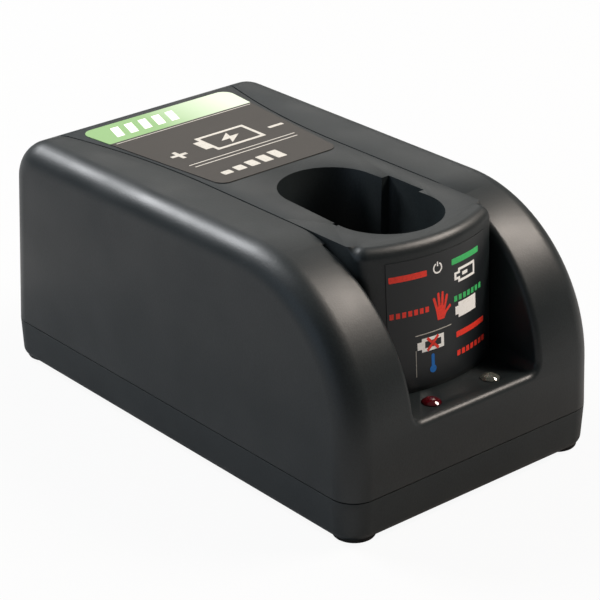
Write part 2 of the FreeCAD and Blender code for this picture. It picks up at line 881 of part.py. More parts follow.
def make_lamp(side):
    x = side * lamp_x
    rim_z = ledge_z + lamp_rim
    stem = cylinder(x, lamp_y, ledge_z - lamp_body, rim_z, lamp_radius)
    flange = cylinder(x, lamp_y, ledge_z - lamp_body, ledge_z - wall - lamp_rim, lamp_radius + lamp_flange)
    ball_radius = (lamp_radius ** 2 + lamp_dome ** 2) / (2 * lamp_dome)
    ball = Part.makeSphere(ball_radius, V(x, lamp_y, rim_z + lamp_dome - ball_radius))
    cap = ball.common(cylinder(x, lamp_y, rim_z - 0.1, rim_z + 2 * lamp_dome, lamp_radius))
    return fuse_all([stem, flange, cap])


def make_lamp_legs():
    top = ledge_z - lamp_body
    low = ledge_z - lamp_board_drop
    return Part.makeCompound([
        cylinder(side * lamp_x + shift, lamp_y, low, top, lamp_leg)
        for side in (-1, 1) for shift in (-lamp_leg_pitch / 2, lamp_leg_pitch / 2)])


def make_lamp_board():
    top = ledge_z - lamp_board_drop
    half = lamp_post_x + lamp_board_margin
    return box(-half, half, lamp_y - lamp_board_half, lamp_y + lamp_board_half, top - lamp_board_thick, top)


def make_top_label():
    label_back_y = back_y - label_back_inset
    label_front_y = label_back_y - label_length
    points = [
        V(-label_back_half, label_back_y, 0),
        V(label_back_half, label_back_y, 0),
        V(label_front_half, label_front_y, 0),
        V(-label_front_half, label_front_y, 0),
    ]
    plan = polygon_face(points).extrude(V(0, 0, FAR))
    upright = edges_where(plan, lambda e: e.BoundBox.ZLength > 1)
    plan = plan.makeFillet(label_corner, upright)
    return under_top(-label_thick).cut(under_top(0)).common(plan)


def make_front_label():
    skin = tower_form(-label_thick, tower_back_y).cut(tower_form(0, tower_back_y - 1))
    window = box(-front_label_half, front_label_half, -FAR, tower_front_top_y + 8,
                 ledge_z + front_label_margins[0], top_z(tower_front_top_y) - front_label_margins[1])
    return skin.common(window)


def build():
    parts["base_tray"] = make_base_tray()
    parts["upper_housing"] = make_upper_housing()
    parts["socket_moulding"] = make_socket_moulding()
    parts["rubber_feet"] = make_feet()
    parts["case_screws"] = make_case_screws()
    parts["main_board"] = make_main_board()
    parts["board_screws"] = make_board_screws()
    core, bobbin, winding = make_transformer()
    parts["transformer_core"] = core
    parts["transformer_bobbin"] = bobbin
    parts["transformer_winding"] = winding
    parts["heat_sink"] = make_heat_sink()
    parts["power_transistor"] = make_power_transistor()
    parts["input_capacitor"] = make_capacitor(input_capacitor)
    parts["output_capacitor"] = make_capacitor(output_capacitor)
    glass, caps, clips = make_fuse()
    parts["fuse_glass"] = glass
    parts["fuse_caps"] = caps
    parts["fuse_clips"] = clips
    inlet, pins = make_inlet()
    parts["mains_inlet"] = inlet
    parts["inlet_pins"] = pins
    parts["contact_carrier"] = make_carrier()
    parts["contact_terminals"] = make_terminals()
    for name, x in zip(("negative", "sensor", "positive"), contact_places()):
        parts["contact_" + name] = make_contact(x)
    parts["lamp_red"] = make_lamp(-1)
    parts["lamp_clear"] = make_lamp(1)
    parts["lamp_legs"] = make_lamp_legs()
    parts["lamp_board"] = make_lamp_board()
    parts["top_label"] = make_top_label()
    parts["front_label"] = make_front_label()


def export():
    os.makedirs("parts", exist_ok=True)
    for name, shape in parts.items():
        shape.exportStep("parts/" + name + ".step")
        print(name, len(shape.Solids), round(shape.Volume, 1), shape.isValid())


build()
export()
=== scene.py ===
import abc
import enum
import logging
import math
from dataclasses import dataclass, field
from typing import Callable, Sequence

import bmesh
import bpy
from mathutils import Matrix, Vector
from mathutils.geometry import tessellate_polygon


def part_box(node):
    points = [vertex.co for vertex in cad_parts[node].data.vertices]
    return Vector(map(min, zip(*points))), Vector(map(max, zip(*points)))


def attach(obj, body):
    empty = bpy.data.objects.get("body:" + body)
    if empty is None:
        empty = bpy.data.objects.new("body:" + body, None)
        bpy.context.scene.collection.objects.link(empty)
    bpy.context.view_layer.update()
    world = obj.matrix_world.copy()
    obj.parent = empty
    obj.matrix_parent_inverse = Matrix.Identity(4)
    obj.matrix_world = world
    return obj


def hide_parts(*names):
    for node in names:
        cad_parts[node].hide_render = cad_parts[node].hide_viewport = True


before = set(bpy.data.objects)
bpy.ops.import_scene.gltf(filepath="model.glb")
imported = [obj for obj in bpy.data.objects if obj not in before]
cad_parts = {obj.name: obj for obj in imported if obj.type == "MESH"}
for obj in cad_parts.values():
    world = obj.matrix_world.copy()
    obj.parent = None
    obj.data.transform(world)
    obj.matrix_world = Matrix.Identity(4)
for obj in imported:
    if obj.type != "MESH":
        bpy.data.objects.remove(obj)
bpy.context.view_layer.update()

# A bench charger for power tool batteries: dark moulded case, bowed socket tower, printed films.
# Lengths are millimetres. Those whose names end in _m, the boxes of nodes and the finished meshes are
# metres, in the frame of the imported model.

MM = 0.001
CASE = "case"
JOIN_MM = 0.001
CORNER_STEPS = 4
ROW_INPUTS = {"Count": "Int", "Start": "Vector", "Pitch": "Vector"}
log = logging.getLogger("charger")

Point = tuple[float, float]
Loop = list[Point]
Wrap = Callable[[float, float, float], Vector]


def linear(hex_colour: str) -> tuple[float, float, float, float]:
    """Turns an sRGB hex colour into linear RGBA.

    Args:
        hex_colour: Six hex digits after a hash mark.

    Returns:
        Red, green, blue and an alpha of 1.
    """
    channels = [int(hex_colour[i:i + 2], 16) / 255 for i in (1, 3, 5)]
    red, green, blue = [c / 12.92 if c <= 0.04045 else ((c + 0.055) / 1.055) ** 2.4 for c in channels]
    return red, green, blue, 1.0


def pattern_scale(size_mm: float) -> float:
    """Texture scale at which one feature of a pattern is size_mm across."""
    return 1 / (size_mm * MM)


def wave_scale(wave_mm: float) -> float:
    """Scale at which a whole wave of a Wave texture, one light and one dark band, is wave_mm long."""
    return pattern_scale(wave_mm) * math.pi / 10


def add_node(tree: bpy.types.NodeTree, kind: str, settings: dict | None = None,
             links: dict | None = None) -> bpy.types.Node:
    """Adds one node to a tree.

    Args:
        tree: The tree that gets the node.
        kind: The node's type name.
        settings: Values for its properties or unlinked inputs, by name or input index.
        links: Sockets that feed its inputs, by name or input index.

    Returns:
        The new node.
    """
    node = tree.nodes.new(kind)
    for key, value in (settings or {}).items():
        if isinstance(key, str) and key not in node.inputs:
            setattr(node, key, value)
        else:
            node.inputs[key].default_value = value
    for key, source in (links or {}).items():
        tree.links.new(source, node.inputs[key])
    return node


class Surface:
    """A new material: its tree, its principled shader and the piece's object coordinates."""

    def __init__(self, name: str) -> None:
        """Makes the material with an empty pattern.

        Args:
            name: The material's name.
        """
        self.material = bpy.data.materials.new(name)
        self.material.use_nodes = True
        self.tree = self.material.node_tree
        self.tree.nodes.clear()
        self.shader = add_node(self.tree, "ShaderNodeBsdfPrincipled")
        add_node(self.tree, "ShaderNodeOutputMaterial", links={"Surface": self.shader.outputs[0]})
        self.place = add_node(self.tree, "ShaderNodeTexCoord").outputs["Object"]

    def feed(self, socket: str, source: bpy.types.NodeSocket) -> None:
        """Links a pattern to one socket of the shader."""
        self.tree.links.new(source, self.shader.inputs[socket])

    def set(self, **values: float) -> None:
        """Sets shader sockets that are the same all over; underscores stand for spaces."""
        for name, value in values.items():
            self.shader.inputs[name.replace("_", " ")].default_value = value


@dataclass(frozen=True)
class MouldedPlastic:
    """Thermoplastic moulded in a spark-eroded tool.

    The eroded grain breaks every highlight into a soft sheen, and slight flow marks shift its gloss.
    The grain is drawn coarser than the real 0.1 mm, so that it shows at this size.
    """

    name: str
    colour: str
    worn: str
    roughness: float = 0.44
    gloss_shift: float = 0.05
    grain_mm: float = 0.7
    grain_depth_mm: float = 0.035
    flow_mm: float = 24.0
    specular: float = 0.38

    def make(self) -> bpy.types.Material:
        """Builds the material."""
        surface = Surface(self.name)
        tree = surface.tree
        grain = add_node(tree, "ShaderNodeTexNoise",
                         {"Scale": pattern_scale(self.grain_mm), "Detail": 3.0, "Roughness": 0.6},
                         {"Vector": surface.place})
        flow = add_node(tree, "ShaderNodeTexNoise",
                        {"Scale": pattern_scale(self.flow_mm), "Detail": 2.0},
                        {"Vector": surface.place})
        gloss = add_node(tree, "ShaderNodeMapRange",
                         {"From Min": 0.3, "From Max": 0.7, "To Min": self.roughness - self.gloss_shift,
                          "To Max": self.roughness + self.gloss_shift}, {"Value": flow.outputs[0]})
        tint = add_node(tree, "ShaderNodeMapRange",
                        {"From Min": 0.35, "From Max": 0.75}, {"Value": grain.outputs[0]})
        colour = add_node(tree, "ShaderNodeMix",
                          {"data_type": "RGBA", 6: linear(self.colour), 7: linear(self.worn)},
                          {0: tint.outputs[0]})
        bump = add_node(tree, "ShaderNodeBump", {"Strength": 1.0, "Distance": self.grain_depth_mm * MM},
                        {"Height": grain.outputs[0]})
        surface.feed("Base Color", colour.outputs[2])
        surface.feed("Roughness", gloss.outputs[0])
        surface.feed("Normal", bump.outputs[0])
        surface.set(IOR=1.53, Specular_IOR_Level=self.specular)
        return surface.material


@dataclass(frozen=True)
class MouldedRubber:
    """Vulcanised rubber straight from the mould.

    It is dull, with a dusty bloom that pales it in patches.
    """

    name: str
    colour: str
    bloom: str
    bloom_mm: float = 4.0
    pore_mm: float = 0.5
    pore_depth_mm: float = 0.015

    def make(self) -> bpy.types.Material:
        """Builds the material."""
        surface = Surface(self.name)
        tree = surface.tree
        patches = add_node(tree, "ShaderNodeTexNoise",
                           {"Scale": pattern_scale(self.bloom_mm), "Detail": 4.0}, {"Vector": surface.place})
        pores = add_node(tree, "ShaderNodeTexVoronoi", {"Scale": pattern_scale(self.pore_mm)},
                         {"Vector": surface.place})
        colour = add_node(tree, "ShaderNodeMix",
                          {"data_type": "RGBA", 6: linear(self.colour), 7: linear(self.bloom)},
                          {0: patches.outputs[0]})
        bump = add_node(tree, "ShaderNodeBump", {"Strength": 0.8, "Distance": self.pore_depth_mm * MM},
                        {"Height": pores.outputs[0]})
        surface.feed("Base Color", colour.outputs[2])
        surface.feed("Normal", bump.outputs[0])
        surface.set(IOR=1.52, Roughness=0.82, Specular_IOR_Level=0.3)
        return surface.material


@dataclass(frozen=True)
class PlatedMetal:
    """Drawn or stamped metal under a thin plating.

    It is bright, with fine tooling lines that stretch its glints.
    """

    name: str
    colour: str
    dull: str
    roughness: float = 0.26
    line_mm: float = 0.25
    stretch: float = 14.0
    smoother: float = 0.7
    rougher: float = 1.4

    def make(self) -> bpy.types.Material:
        """Builds the material."""
        surface = Surface(self.name)
        tree = surface.tree
        along = add_node(tree, "ShaderNodeMapping", {"Scale": (1.0, 1.0, 1 / self.stretch)},
                         {"Vector": surface.place})
        lines = add_node(tree, "ShaderNodeTexNoise", {"Scale": pattern_scale(self.line_mm), "Detail": 3.0},
                         {"Vector": along.outputs[0]})
        colour = add_node(tree, "ShaderNodeMix",
                          {"data_type": "RGBA", 6: linear(self.colour), 7: linear(self.dull)},
                          {0: lines.outputs[0]})
        gloss = add_node(tree, "ShaderNodeMapRange",
                         {"To Min": self.roughness * self.smoother, "To Max": self.roughness * self.rougher},
                         {"Value": lines.outputs[0]})
        surface.feed("Base Color", colour.outputs[2])
        surface.feed("Roughness", gloss.outputs[0])
        surface.set(Metallic=1.0)
        return surface.material


@dataclass(frozen=True)
class CircuitLaminate:
    """Glass-epoxy board under solder mask.

    The weave shows faintly, and copper tracks lie under the mask.
    """

    name: str
    mask: str
    track: str
    weave_mm: float = 0.9
    weave_depth_mm: float = 0.01
    track_mm: float = 5.0

    def make(self) -> bpy.types.Material:
        """Builds the material."""
        surface = Surface(self.name)
        tree = surface.tree
        cells = add_node(tree, "ShaderNodeTexVoronoi",
                         {"feature": "DISTANCE_TO_EDGE", "distance": "EUCLIDEAN",
                          "Scale": pattern_scale(self.track_mm), "Randomness": 0.6},
                         {"Vector": surface.place})
        copper = add_node(tree, "ShaderNodeMapRange",
                          {"From Min": 0.05, "From Max": 0.09, "To Min": 1.0, "To Max": 0.0},
                          {"Value": cells.outputs[0]})
        weave = add_node(tree, "ShaderNodeTexChecker", {"Scale": pattern_scale(self.weave_mm)},
                         {"Vector": surface.place})
        colour = add_node(tree, "ShaderNodeMix",
                          {"data_type": "RGBA", 6: linear(self.mask), 7: linear(self.track)},
                          {0: copper.outputs[0]})
        bump = add_node(tree, "ShaderNodeBump", {"Strength": 0.4, "Distance": self.weave_depth_mm * MM},
                        {"Height": weave.outputs["Fac"]})
        surface.feed("Base Color", colour.outputs[2])
        surface.feed("Normal", bump.outputs[0])
        surface.set(IOR=1.55, Roughness=0.32, Coat_Weight=0.4, Coat_Roughness=0.12)
        return surface.material


@dataclass(frozen=True)
class StripedSurface:
    """Anything built of thin layers side by side, such as stamped laminations or an extruded fin.

    Each layer catches the light a little differently, which draws fine parallel lines.
    """

    name: str
    light: str
    dark: str
    layer_mm: float
    roughness: float
    metallic: float
    direction: str = "Y"
    depth_mm: float = 0.03

    def make(self) -> bpy.types.Material:
        """Builds the material."""
        surface = Surface(self.name)
        tree = surface.tree
        layers = add_node(tree, "ShaderNodeTexWave",
                          {"wave_type": "BANDS", "bands_direction": self.direction,
                           "Scale": wave_scale(2 * self.layer_mm), "Distortion": 0.3},
                          {"Vector": surface.place})
        colour = add_node(tree, "ShaderNodeMix",
                          {"data_type": "RGBA", 6: linear(self.dark), 7: linear(self.light)},
                          {0: layers.outputs["Fac"]})
        bump = add_node(tree, "ShaderNodeBump", {"Strength": 0.7, "Distance": self.depth_mm * MM},
                        {"Height": layers.outputs["Fac"]})
        surface.feed("Base Color", colour.outputs[2])
        surface.feed("Normal", bump.outputs[0])
        surface.set(Roughness=self.roughness, Metallic=self.metallic)
        return surface.material


@dataclass(frozen=True)
class ShrinkSleeve:
    """PVC sleeve shrunk over a can.

    It is glossy and slightly rippled, with a paler stripe down the side that marks the negative leg.
    """

    name: str
    sleeve: str
    stripe: str
    stripe_pitch_mm: float = 44.0
    ripple_mm: float = 6.0
    ripple_depth_mm: float = 0.05

    def make(self) -> bpy.types.Material:
        """Builds the material."""
        surface = Surface(self.name)
        tree = surface.tree
        bands = add_node(tree, "ShaderNodeTexWave",
                         {"wave_type": "BANDS", "bands_direction": "Y",
                          "Scale": wave_scale(self.stripe_pitch_mm)},
                         {"Vector": surface.place})
        edge = add_node(tree, "ShaderNodeMapRange", {"From Min": 0.93, "From Max": 0.95},
                        {"Value": bands.outputs["Fac"]})
        colour = add_node(tree, "ShaderNodeMix",
                          {"data_type": "RGBA", 6: linear(self.sleeve), 7: linear(self.stripe)},
                          {0: edge.outputs[0]})
        ripple = add_node(tree, "ShaderNodeTexNoise",
                          {"Scale": pattern_scale(self.ripple_mm), "Detail": 1.0},
                          {"Vector": surface.place})
        bump = add_node(tree, "ShaderNodeBump", {"Strength": 0.5, "Distance": self.ripple_depth_mm * MM},
                        {"Height": ripple.outputs[0]})
        surface.feed("Base Color", colour.outputs[2])
        surface.feed("Normal", bump.outputs[0])
        surface.set(IOR=1.54, Roughness=0.22)
        return surface.material


@dataclass(frozen=True)
class LampLens:
    """Epoxy cast in a smooth cup: clear or tinted through, with slight cloudiness and a sharp highlight."""

    name: str
    tint: str
    cloud: str
    transmission: float = 0.75
    cloud_mm: float = 1.6

    def make(self) -> bpy.types.Material:
        """Builds the material."""
        surface = Surface(self.name)
        tree = surface.tree
        clouds = add_node(tree, "ShaderNodeTexNoise", {"Scale": pattern_scale(self.cloud_mm), "Detail": 2.0},
                          {"Vector": surface.place})
        colour = add_node(tree, "ShaderNodeMix",
                          {"data_type": "RGBA", 6: linear(self.tint), 7: linear(self.cloud)},
                          {0: clouds.outputs[0]})
        surface.feed("Base Color", colour.outputs[2])
        surface.set(IOR=1.52, Roughness=0.06, Transmission_Weight=self.transmission, Coat_Weight=0.6,
                    Coat_Roughness=0.03)
        return surface.material


@dataclass(frozen=True)
class PrintedFilm:
    """Polyester film printed on its face: satin, a little uneven where the ink lies thick or thin."""

    name: str
    ink: str
    thin: str
    roughness: float = 0.42
    uneven_mm: float = 7.0
    grit_mm: float = 0.6
    grit_depth_mm: float = 0.008

    def colours(self, surface: Surface) -> bpy.types.NodeSocket:
        """The film's ground colour as a pattern.

        Args:
            surface: The material being built.

        Returns:
            The colour socket.
        """
        uneven = add_node(surface.tree, "ShaderNodeTexNoise",
                          {"Scale": pattern_scale(self.uneven_mm), "Detail": 5.0, "Roughness": 0.65},
                          {"Vector": surface.place})
        ground = add_node(surface.tree, "ShaderNodeMix",
                          {"data_type": "RGBA", 6: linear(self.ink), 7: linear(self.thin)},
                          {0: uneven.outputs[0]})
        return ground.outputs[2]

    def make(self) -> bpy.types.Material:
        """Builds the material."""
        surface = Surface(self.name)
        surface.feed("Base Color", self.colours(surface))
        grit = add_node(surface.tree, "ShaderNodeTexNoise",
                        {"Scale": pattern_scale(self.grit_mm), "Detail": 2.0}, {"Vector": surface.place})
        bump = add_node(surface.tree, "ShaderNodeBump",
                        {"Strength": 0.6, "Distance": self.grit_depth_mm * MM}, {"Height": grit.outputs[0]})
        surface.feed("Normal", bump.outputs[0])
        surface.set(IOR=1.5, Roughness=self.roughness, Specular_IOR_Level=0.4)
        return surface.material


@dataclass(frozen=True)
class BandedFilm(PrintedFilm):
    """Printed film with one band across its back end, which fades towards one side."""

    band: str = "#7c9f6b"
    fade: str = "#c2cfb9"
    band_front_mm: float = 62.0
    fade_start_mm: float = -8.0
    fade_end_mm: float = 26.0

    def colours(self, surface: Surface) -> bpy.types.NodeSocket:
        """The ground colour with the band over it.

        Args:
            surface: The material being built.

        Returns:
            The colour socket.
        """
        tree = surface.tree
        ground = PrintedFilm.colours(self, surface)
        axes = add_node(tree, "ShaderNodeSeparateXYZ", links={0: surface.place})
        across = add_node(tree, "ShaderNodeMapRange",
                          {"From Min": self.fade_start_mm * MM, "From Max": self.fade_end_mm * MM},
                          {"Value": axes.outputs["X"]})
        printed = add_node(tree, "ShaderNodeMix",
                           {"data_type": "RGBA", 6: linear(self.band), 7: linear(self.fade)},
                           {0: across.outputs[0]})
        inside = add_node(tree, "ShaderNodeMath", {"operation": "GREATER_THAN", 1: self.band_front_mm * MM},
                          {0: axes.outputs["Y"]})
        colour = add_node(tree, "ShaderNodeMix", {"data_type": "RGBA"},
                          {0: inside.outputs[0], 6: ground, 7: printed.outputs[2]})
        return colour.outputs[2]


@dataclass(frozen=True)
class ScreenInk:
    """Screen printing ink laid thick on film.

    It is flat and opaque, with the mesh's faint unevenness in its gloss.
    """

    name: str
    colour: str
    rubbed: str
    mesh_mm: float = 0.8

    def make(self) -> bpy.types.Material:
        """Builds the material."""
        surface = Surface(self.name)
        tree = surface.tree
        mesh = add_node(tree, "ShaderNodeTexNoise", {"Scale": pattern_scale(self.mesh_mm), "Detail": 3.0},
                        {"Vector": surface.place})
        rubbed = add_node(tree, "ShaderNodeMapRange", {"From Min": 0.5, "From Max": 0.8},
                          {"Value": mesh.outputs[0]})
        colour = add_node(tree, "ShaderNodeMix",
                          {"data_type": "RGBA", 6: linear(self.colour), 7: linear(self.rubbed)},
                          {0: rubbed.outputs[0]})
        gloss = add_node(tree, "ShaderNodeMapRange", {"To Min": 0.4, "To Max": 0.6},
                         {"Value": mesh.outputs[0]})
        surface.feed("Base Color", colour.outputs[2])
        surface.feed("Roughness", gloss.outputs[0])
        surface.set(IOR=1.5, Specular_IOR_Level=0.3)
        return surface.material


class Ink(enum.Enum):
    """The printing inks of the two films."""

    RED = ScreenInk("ink_signal_red", "#f03c2c", "#d2382a")
    GREEN = ScreenInk("ink_ready_green", "#43bd6a", "#3ba45c")
    WHITE = ScreenInk("ink_white", "#fbfaf7", "#eceae4")
    BLUE = ScreenInk("ink_cold_blue", "#1f6fc0", "#1d62a8")
    GREY = ScreenInk("ink_line_grey", "#b9b6ae", "#9c9990")

    def material(self) -> bpy.types.Material:
        """The ink's material, made once."""
        return bpy.data.materials.get(self.value.name) or self.value.make()


def settle(piece: bpy.types.Object, slot: str, body: str = CASE,
           nodes: Sequence[str] = ()) -> bpy.types.Object:
    """Hangs a finished piece on its body and hides the CAD nodes that it stands for.

    Args:
        piece: The finished object.
        slot: Not used.
        body: The CAD body that it rides on.
        nodes: CAD nodes that it stands for.

    Returns:
        The same object.
    """
    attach(piece, body)
    if nodes:
        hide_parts(*nodes)
    return piece


def new_piece(name: str, mesh: bpy.types.Mesh, material: bpy.types.Material) -> bpy.types.Object:
    """Puts a mesh in the scene as an object at the origin.

    Args:
        name: The piece's name.
        mesh: Its finished mesh.
        material: Its only material.

    Returns:
        The new object.
    """
    mesh.name = name
    mesh.materials.clear()
    mesh.materials.append(material)
    piece = bpy.data.objects.new(name, mesh)
    bpy.context.scene.collection.objects.link(piece)
    return piece


def baked(piece: bpy.types.Object) -> bpy.types.Mesh:
    """The object's mesh with its modifiers worked in, after which it has none.

    Args:
        piece: An object with live modifiers.

    Returns:
        A plain mesh.
    """
    graph = bpy.context.evaluated_depsgraph_get()
    graph.update()
    mesh = bpy.data.meshes.new_from_object(piece.evaluated_get(graph), depsgraph=graph)
    piece.modifiers.clear()
    return mesh


def dress(node: str, material: bpy.types.Material) -> None:
    """Gives a CAD node its finish and reports it.

    Args:
        node: The node's name.
        material: Its material.
    """
    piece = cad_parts[node]
    if not piece.material_slots:
        piece.data.materials.append(material)
    for place in piece.material_slots:
        place.material = material
    log.info("%s keeps its CAD shape, in %s", node, material.name)


def middle_at(low: Sequence[float], high: Sequence[float], z: float) -> tuple[float, float, float]:
    """The middle of a box seen from above, at height z, all in metres."""
    return (low[0] + high[0]) / 2, (low[1] + high[1]) / 2, z


def grown_by_nodes(name: str, tree: bpy.types.NodeTree, inputs: dict[str, object],
                   material: bpy.types.Material) -> bpy.types.Object:
    """Runs a Geometry Nodes tree once and keeps the plain mesh.

    Args:
        name: The piece's name.
        tree: The tree, which starts from nothing.
        inputs: Values for its named inputs.
        material: The finish, also given to the tree's Material input.

    Returns:
        An object without modifiers.
    """
    holder = bpy.data.objects.new(name + "_holder", bpy.data.meshes.new(name + "_holder"))
    bpy.context.scene.collection.objects.link(holder)
    modifier = holder.modifiers.new(name, "NODES")
    modifier.node_group = tree
    values = {**inputs, "Material": material}
    for item in tree.interface.items_tree:
        if item.item_type == "SOCKET" and item.in_out == "INPUT" and item.name in values:
            modifier[item.identifier] = values[item.name]
    mesh = baked(holder)
    bpy.data.objects.remove(holder)
    return new_piece(name, mesh, material)


def named_tree(name: str, inputs: dict[str, str]) -> tuple[bpy.types.NodeTree, bpy.types.Node]:
    """A new Geometry Nodes tree with named inputs and one geometry output.

    Args:
        name: The tree's name.
        inputs: Kind of socket of each named input, to which Material is added.

    Returns:
        The tree and its group input node.
    """
    tree = bpy.data.node_groups.new(name, "GeometryNodeTree")
    for label, kind in {**inputs, "Material": "Material"}.items():
        tree.interface.new_socket(name=label, in_out="INPUT", socket_type="NodeSocket" + kind)
    tree.interface.new_socket(name="Geometry", in_out="OUTPUT", socket_type="NodeSocketGeometry")
    return tree, add_node(tree, "NodeGroupInput")


def finish_tree(tree: bpy.types.NodeTree, given: bpy.types.Node, instances: bpy.types.NodeSocket) -> None:
    """Ends a tree: instances made real, the material set, the result handed out.

    Args:
        tree: The tree to end.
        given: Its group input node.
        instances: The geometry made so far.
    """
    real = add_node(tree, "GeometryNodeRealizeInstances", links={0: instances})
    finished = add_node(tree, "GeometryNodeSetMaterial",
                        links={"Geometry": real.outputs[0], "Material": given.outputs["Material"]})
    add_node(tree, "NodeGroupOutput", links={0: finished.outputs[0]})


def finish_row(tree: bpy.types.NodeTree, given: bpy.types.Node, shape: bpy.types.NodeSocket,
               turn: tuple[float, float, float] = (0.0, 0.0, 0.0)) -> None:
    """Ends a tree that has the row inputs: a shape repeated from Start at a steady Pitch.

    Args:
        tree: The tree to end.
        given: Its group input node.
        shape: The geometry to repeat.
        turn: How each copy is turned, in radians.
    """
    row = add_node(tree, "GeometryNodeMeshLine", {"mode": "OFFSET"},
                   {"Count": given.outputs["Count"], "Start Location": given.outputs["Start"],
                    "Offset": given.outputs["Pitch"]})
    placed = add_node(tree, "GeometryNodeInstanceOnPoints", {"Rotation": turn},
                      {"Points": row.outputs[0], "Instance": shape})
    finish_tree(tree, given, placed.outputs[0])


def arc(cx: float, cy: float, radius: float, start: float, end: float, steps: int) -> Loop:
    """Points along an arc.

    Args:
        cx: Centre across.
        cy: Centre up.
        radius: Radius.
        start: First angle in degrees.
        end: Last angle in degrees.
        steps: Number of equal steps.

    Returns:
        The points in order.
    """
    turns = [math.radians(start + (end - start) * i / steps) for i in range(steps + 1)]
    return [(cx + radius * math.cos(t), cy + radius * math.sin(t)) for t in turns]


def turned(section: Loop, sides: int, place: Sequence[float] = (0.0, 0.0, 0.0)) -> bpy.types.Mesh:
    """A closed mesh turned about an upright axis.

    Args:
        section: Radius and height pairs, from the axis round to the axis.
        sides: Steps in the full turn.
        place: Where the axis meets height 0, in metres.

    Returns:
        The mesh.
    """
    form = bmesh.new()
    verts = [form.verts.new((r * MM, 0, z * MM)) for r, z in section]
    edges = [form.edges.new(pair) for pair in zip(verts, verts[1:])]
    bmesh.ops.spin(form, geom=verts + edges, cent=(0, 0, 0), axis=(0, 0, 1), angle=2 * math.pi,
                   steps=sides, use_merge=True)
    bmesh.ops.remove_doubles(form, verts=form.verts, dist=JOIN_MM * MM)
    bmesh.ops.recalc_face_normals(form, faces=form.faces)
    bmesh.ops.translate(form, verts=form.verts, vec=place)
    mesh = bpy.data.meshes.new("turned")
    form.to_mesh(mesh)
    form.free()
    return mesh


@dataclass
class MouldedShell:
    """A moulded case part: the CAD shape with its sharp edges broken by a small moulding radius."""

    node: str
    slot: str
    finish: MouldedPlastic
    edge_mm: float = 0.25
    edge_steps: int = 2
    sharp_degrees: float = 32.0
    flat_degrees: float = 0.4
    merge_mm: float = 0.002

    def build(self) -> bpy.types.Object:
        """Merges a copy of the CAD mesh, rounds its edges and dresses it."""
        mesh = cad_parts[self.node].data.copy()
        for name in ("custom_normal", "sharp_face", "sharp_edge"):
            if name in mesh.attributes:
                mesh.attributes.remove(mesh.attributes[name])
        form = bmesh.new()
        form.from_mesh(mesh)
        bmesh.ops.remove_doubles(form, verts=form.verts, dist=self.merge_mm * MM)
        bmesh.ops.dissolve_limit(form, angle_limit=math.radians(self.flat_degrees), verts=form.verts,
                                 edges=form.edges)
        form.to_mesh(mesh)
        form.free()
        material = self.finish.make()
        piece = new_piece(self.node + "_shell", mesh, material)
        rounding = piece.modifiers.new("moulding radius", "BEVEL")
        rounding.width = self.edge_mm * MM
        rounding.segments = self.edge_steps
        rounding.limit_method = "ANGLE"
        rounding.angle_limit = math.radians(self.sharp_degrees)
        rounding.miter_outer = "MITER_ARC"
        rounded = baked(piece)
        bpy.data.objects.remove(piece)
        rounded.shade_smooth()
        rounded.set_sharp_from_angle(angle=math.radians(self.sharp_degrees))
        piece = new_piece(self.node + "_shell", rounded, material)
        return settle(piece, self.slot, nodes=[self.node])


@dataclass
class Case:
    """The three black mouldings that make the outside."""

    colour: str = "#12181a"
    worn: str = "#1a2123"

    def build(self) -> list[bpy.types.Object]:
        """Builds the housing, the socket moulding and the tray."""
        shells = [
            MouldedShell("upper_housing", "case_plastic",
                         MouldedPlastic("housing_abs_spark_grain", self.colour, self.worn)),
            MouldedShell("socket_moulding", "socket_plastic",
                         MouldedPlastic("socket_abs_spark_grain", self.colour, self.worn)),
            MouldedShell("base_tray", "tray_plastic",
                         MouldedPlastic("tray_abs_spark_grain", self.colour, self.worn, roughness=0.54)),
        ]
        return [shell.build() for shell in shells]


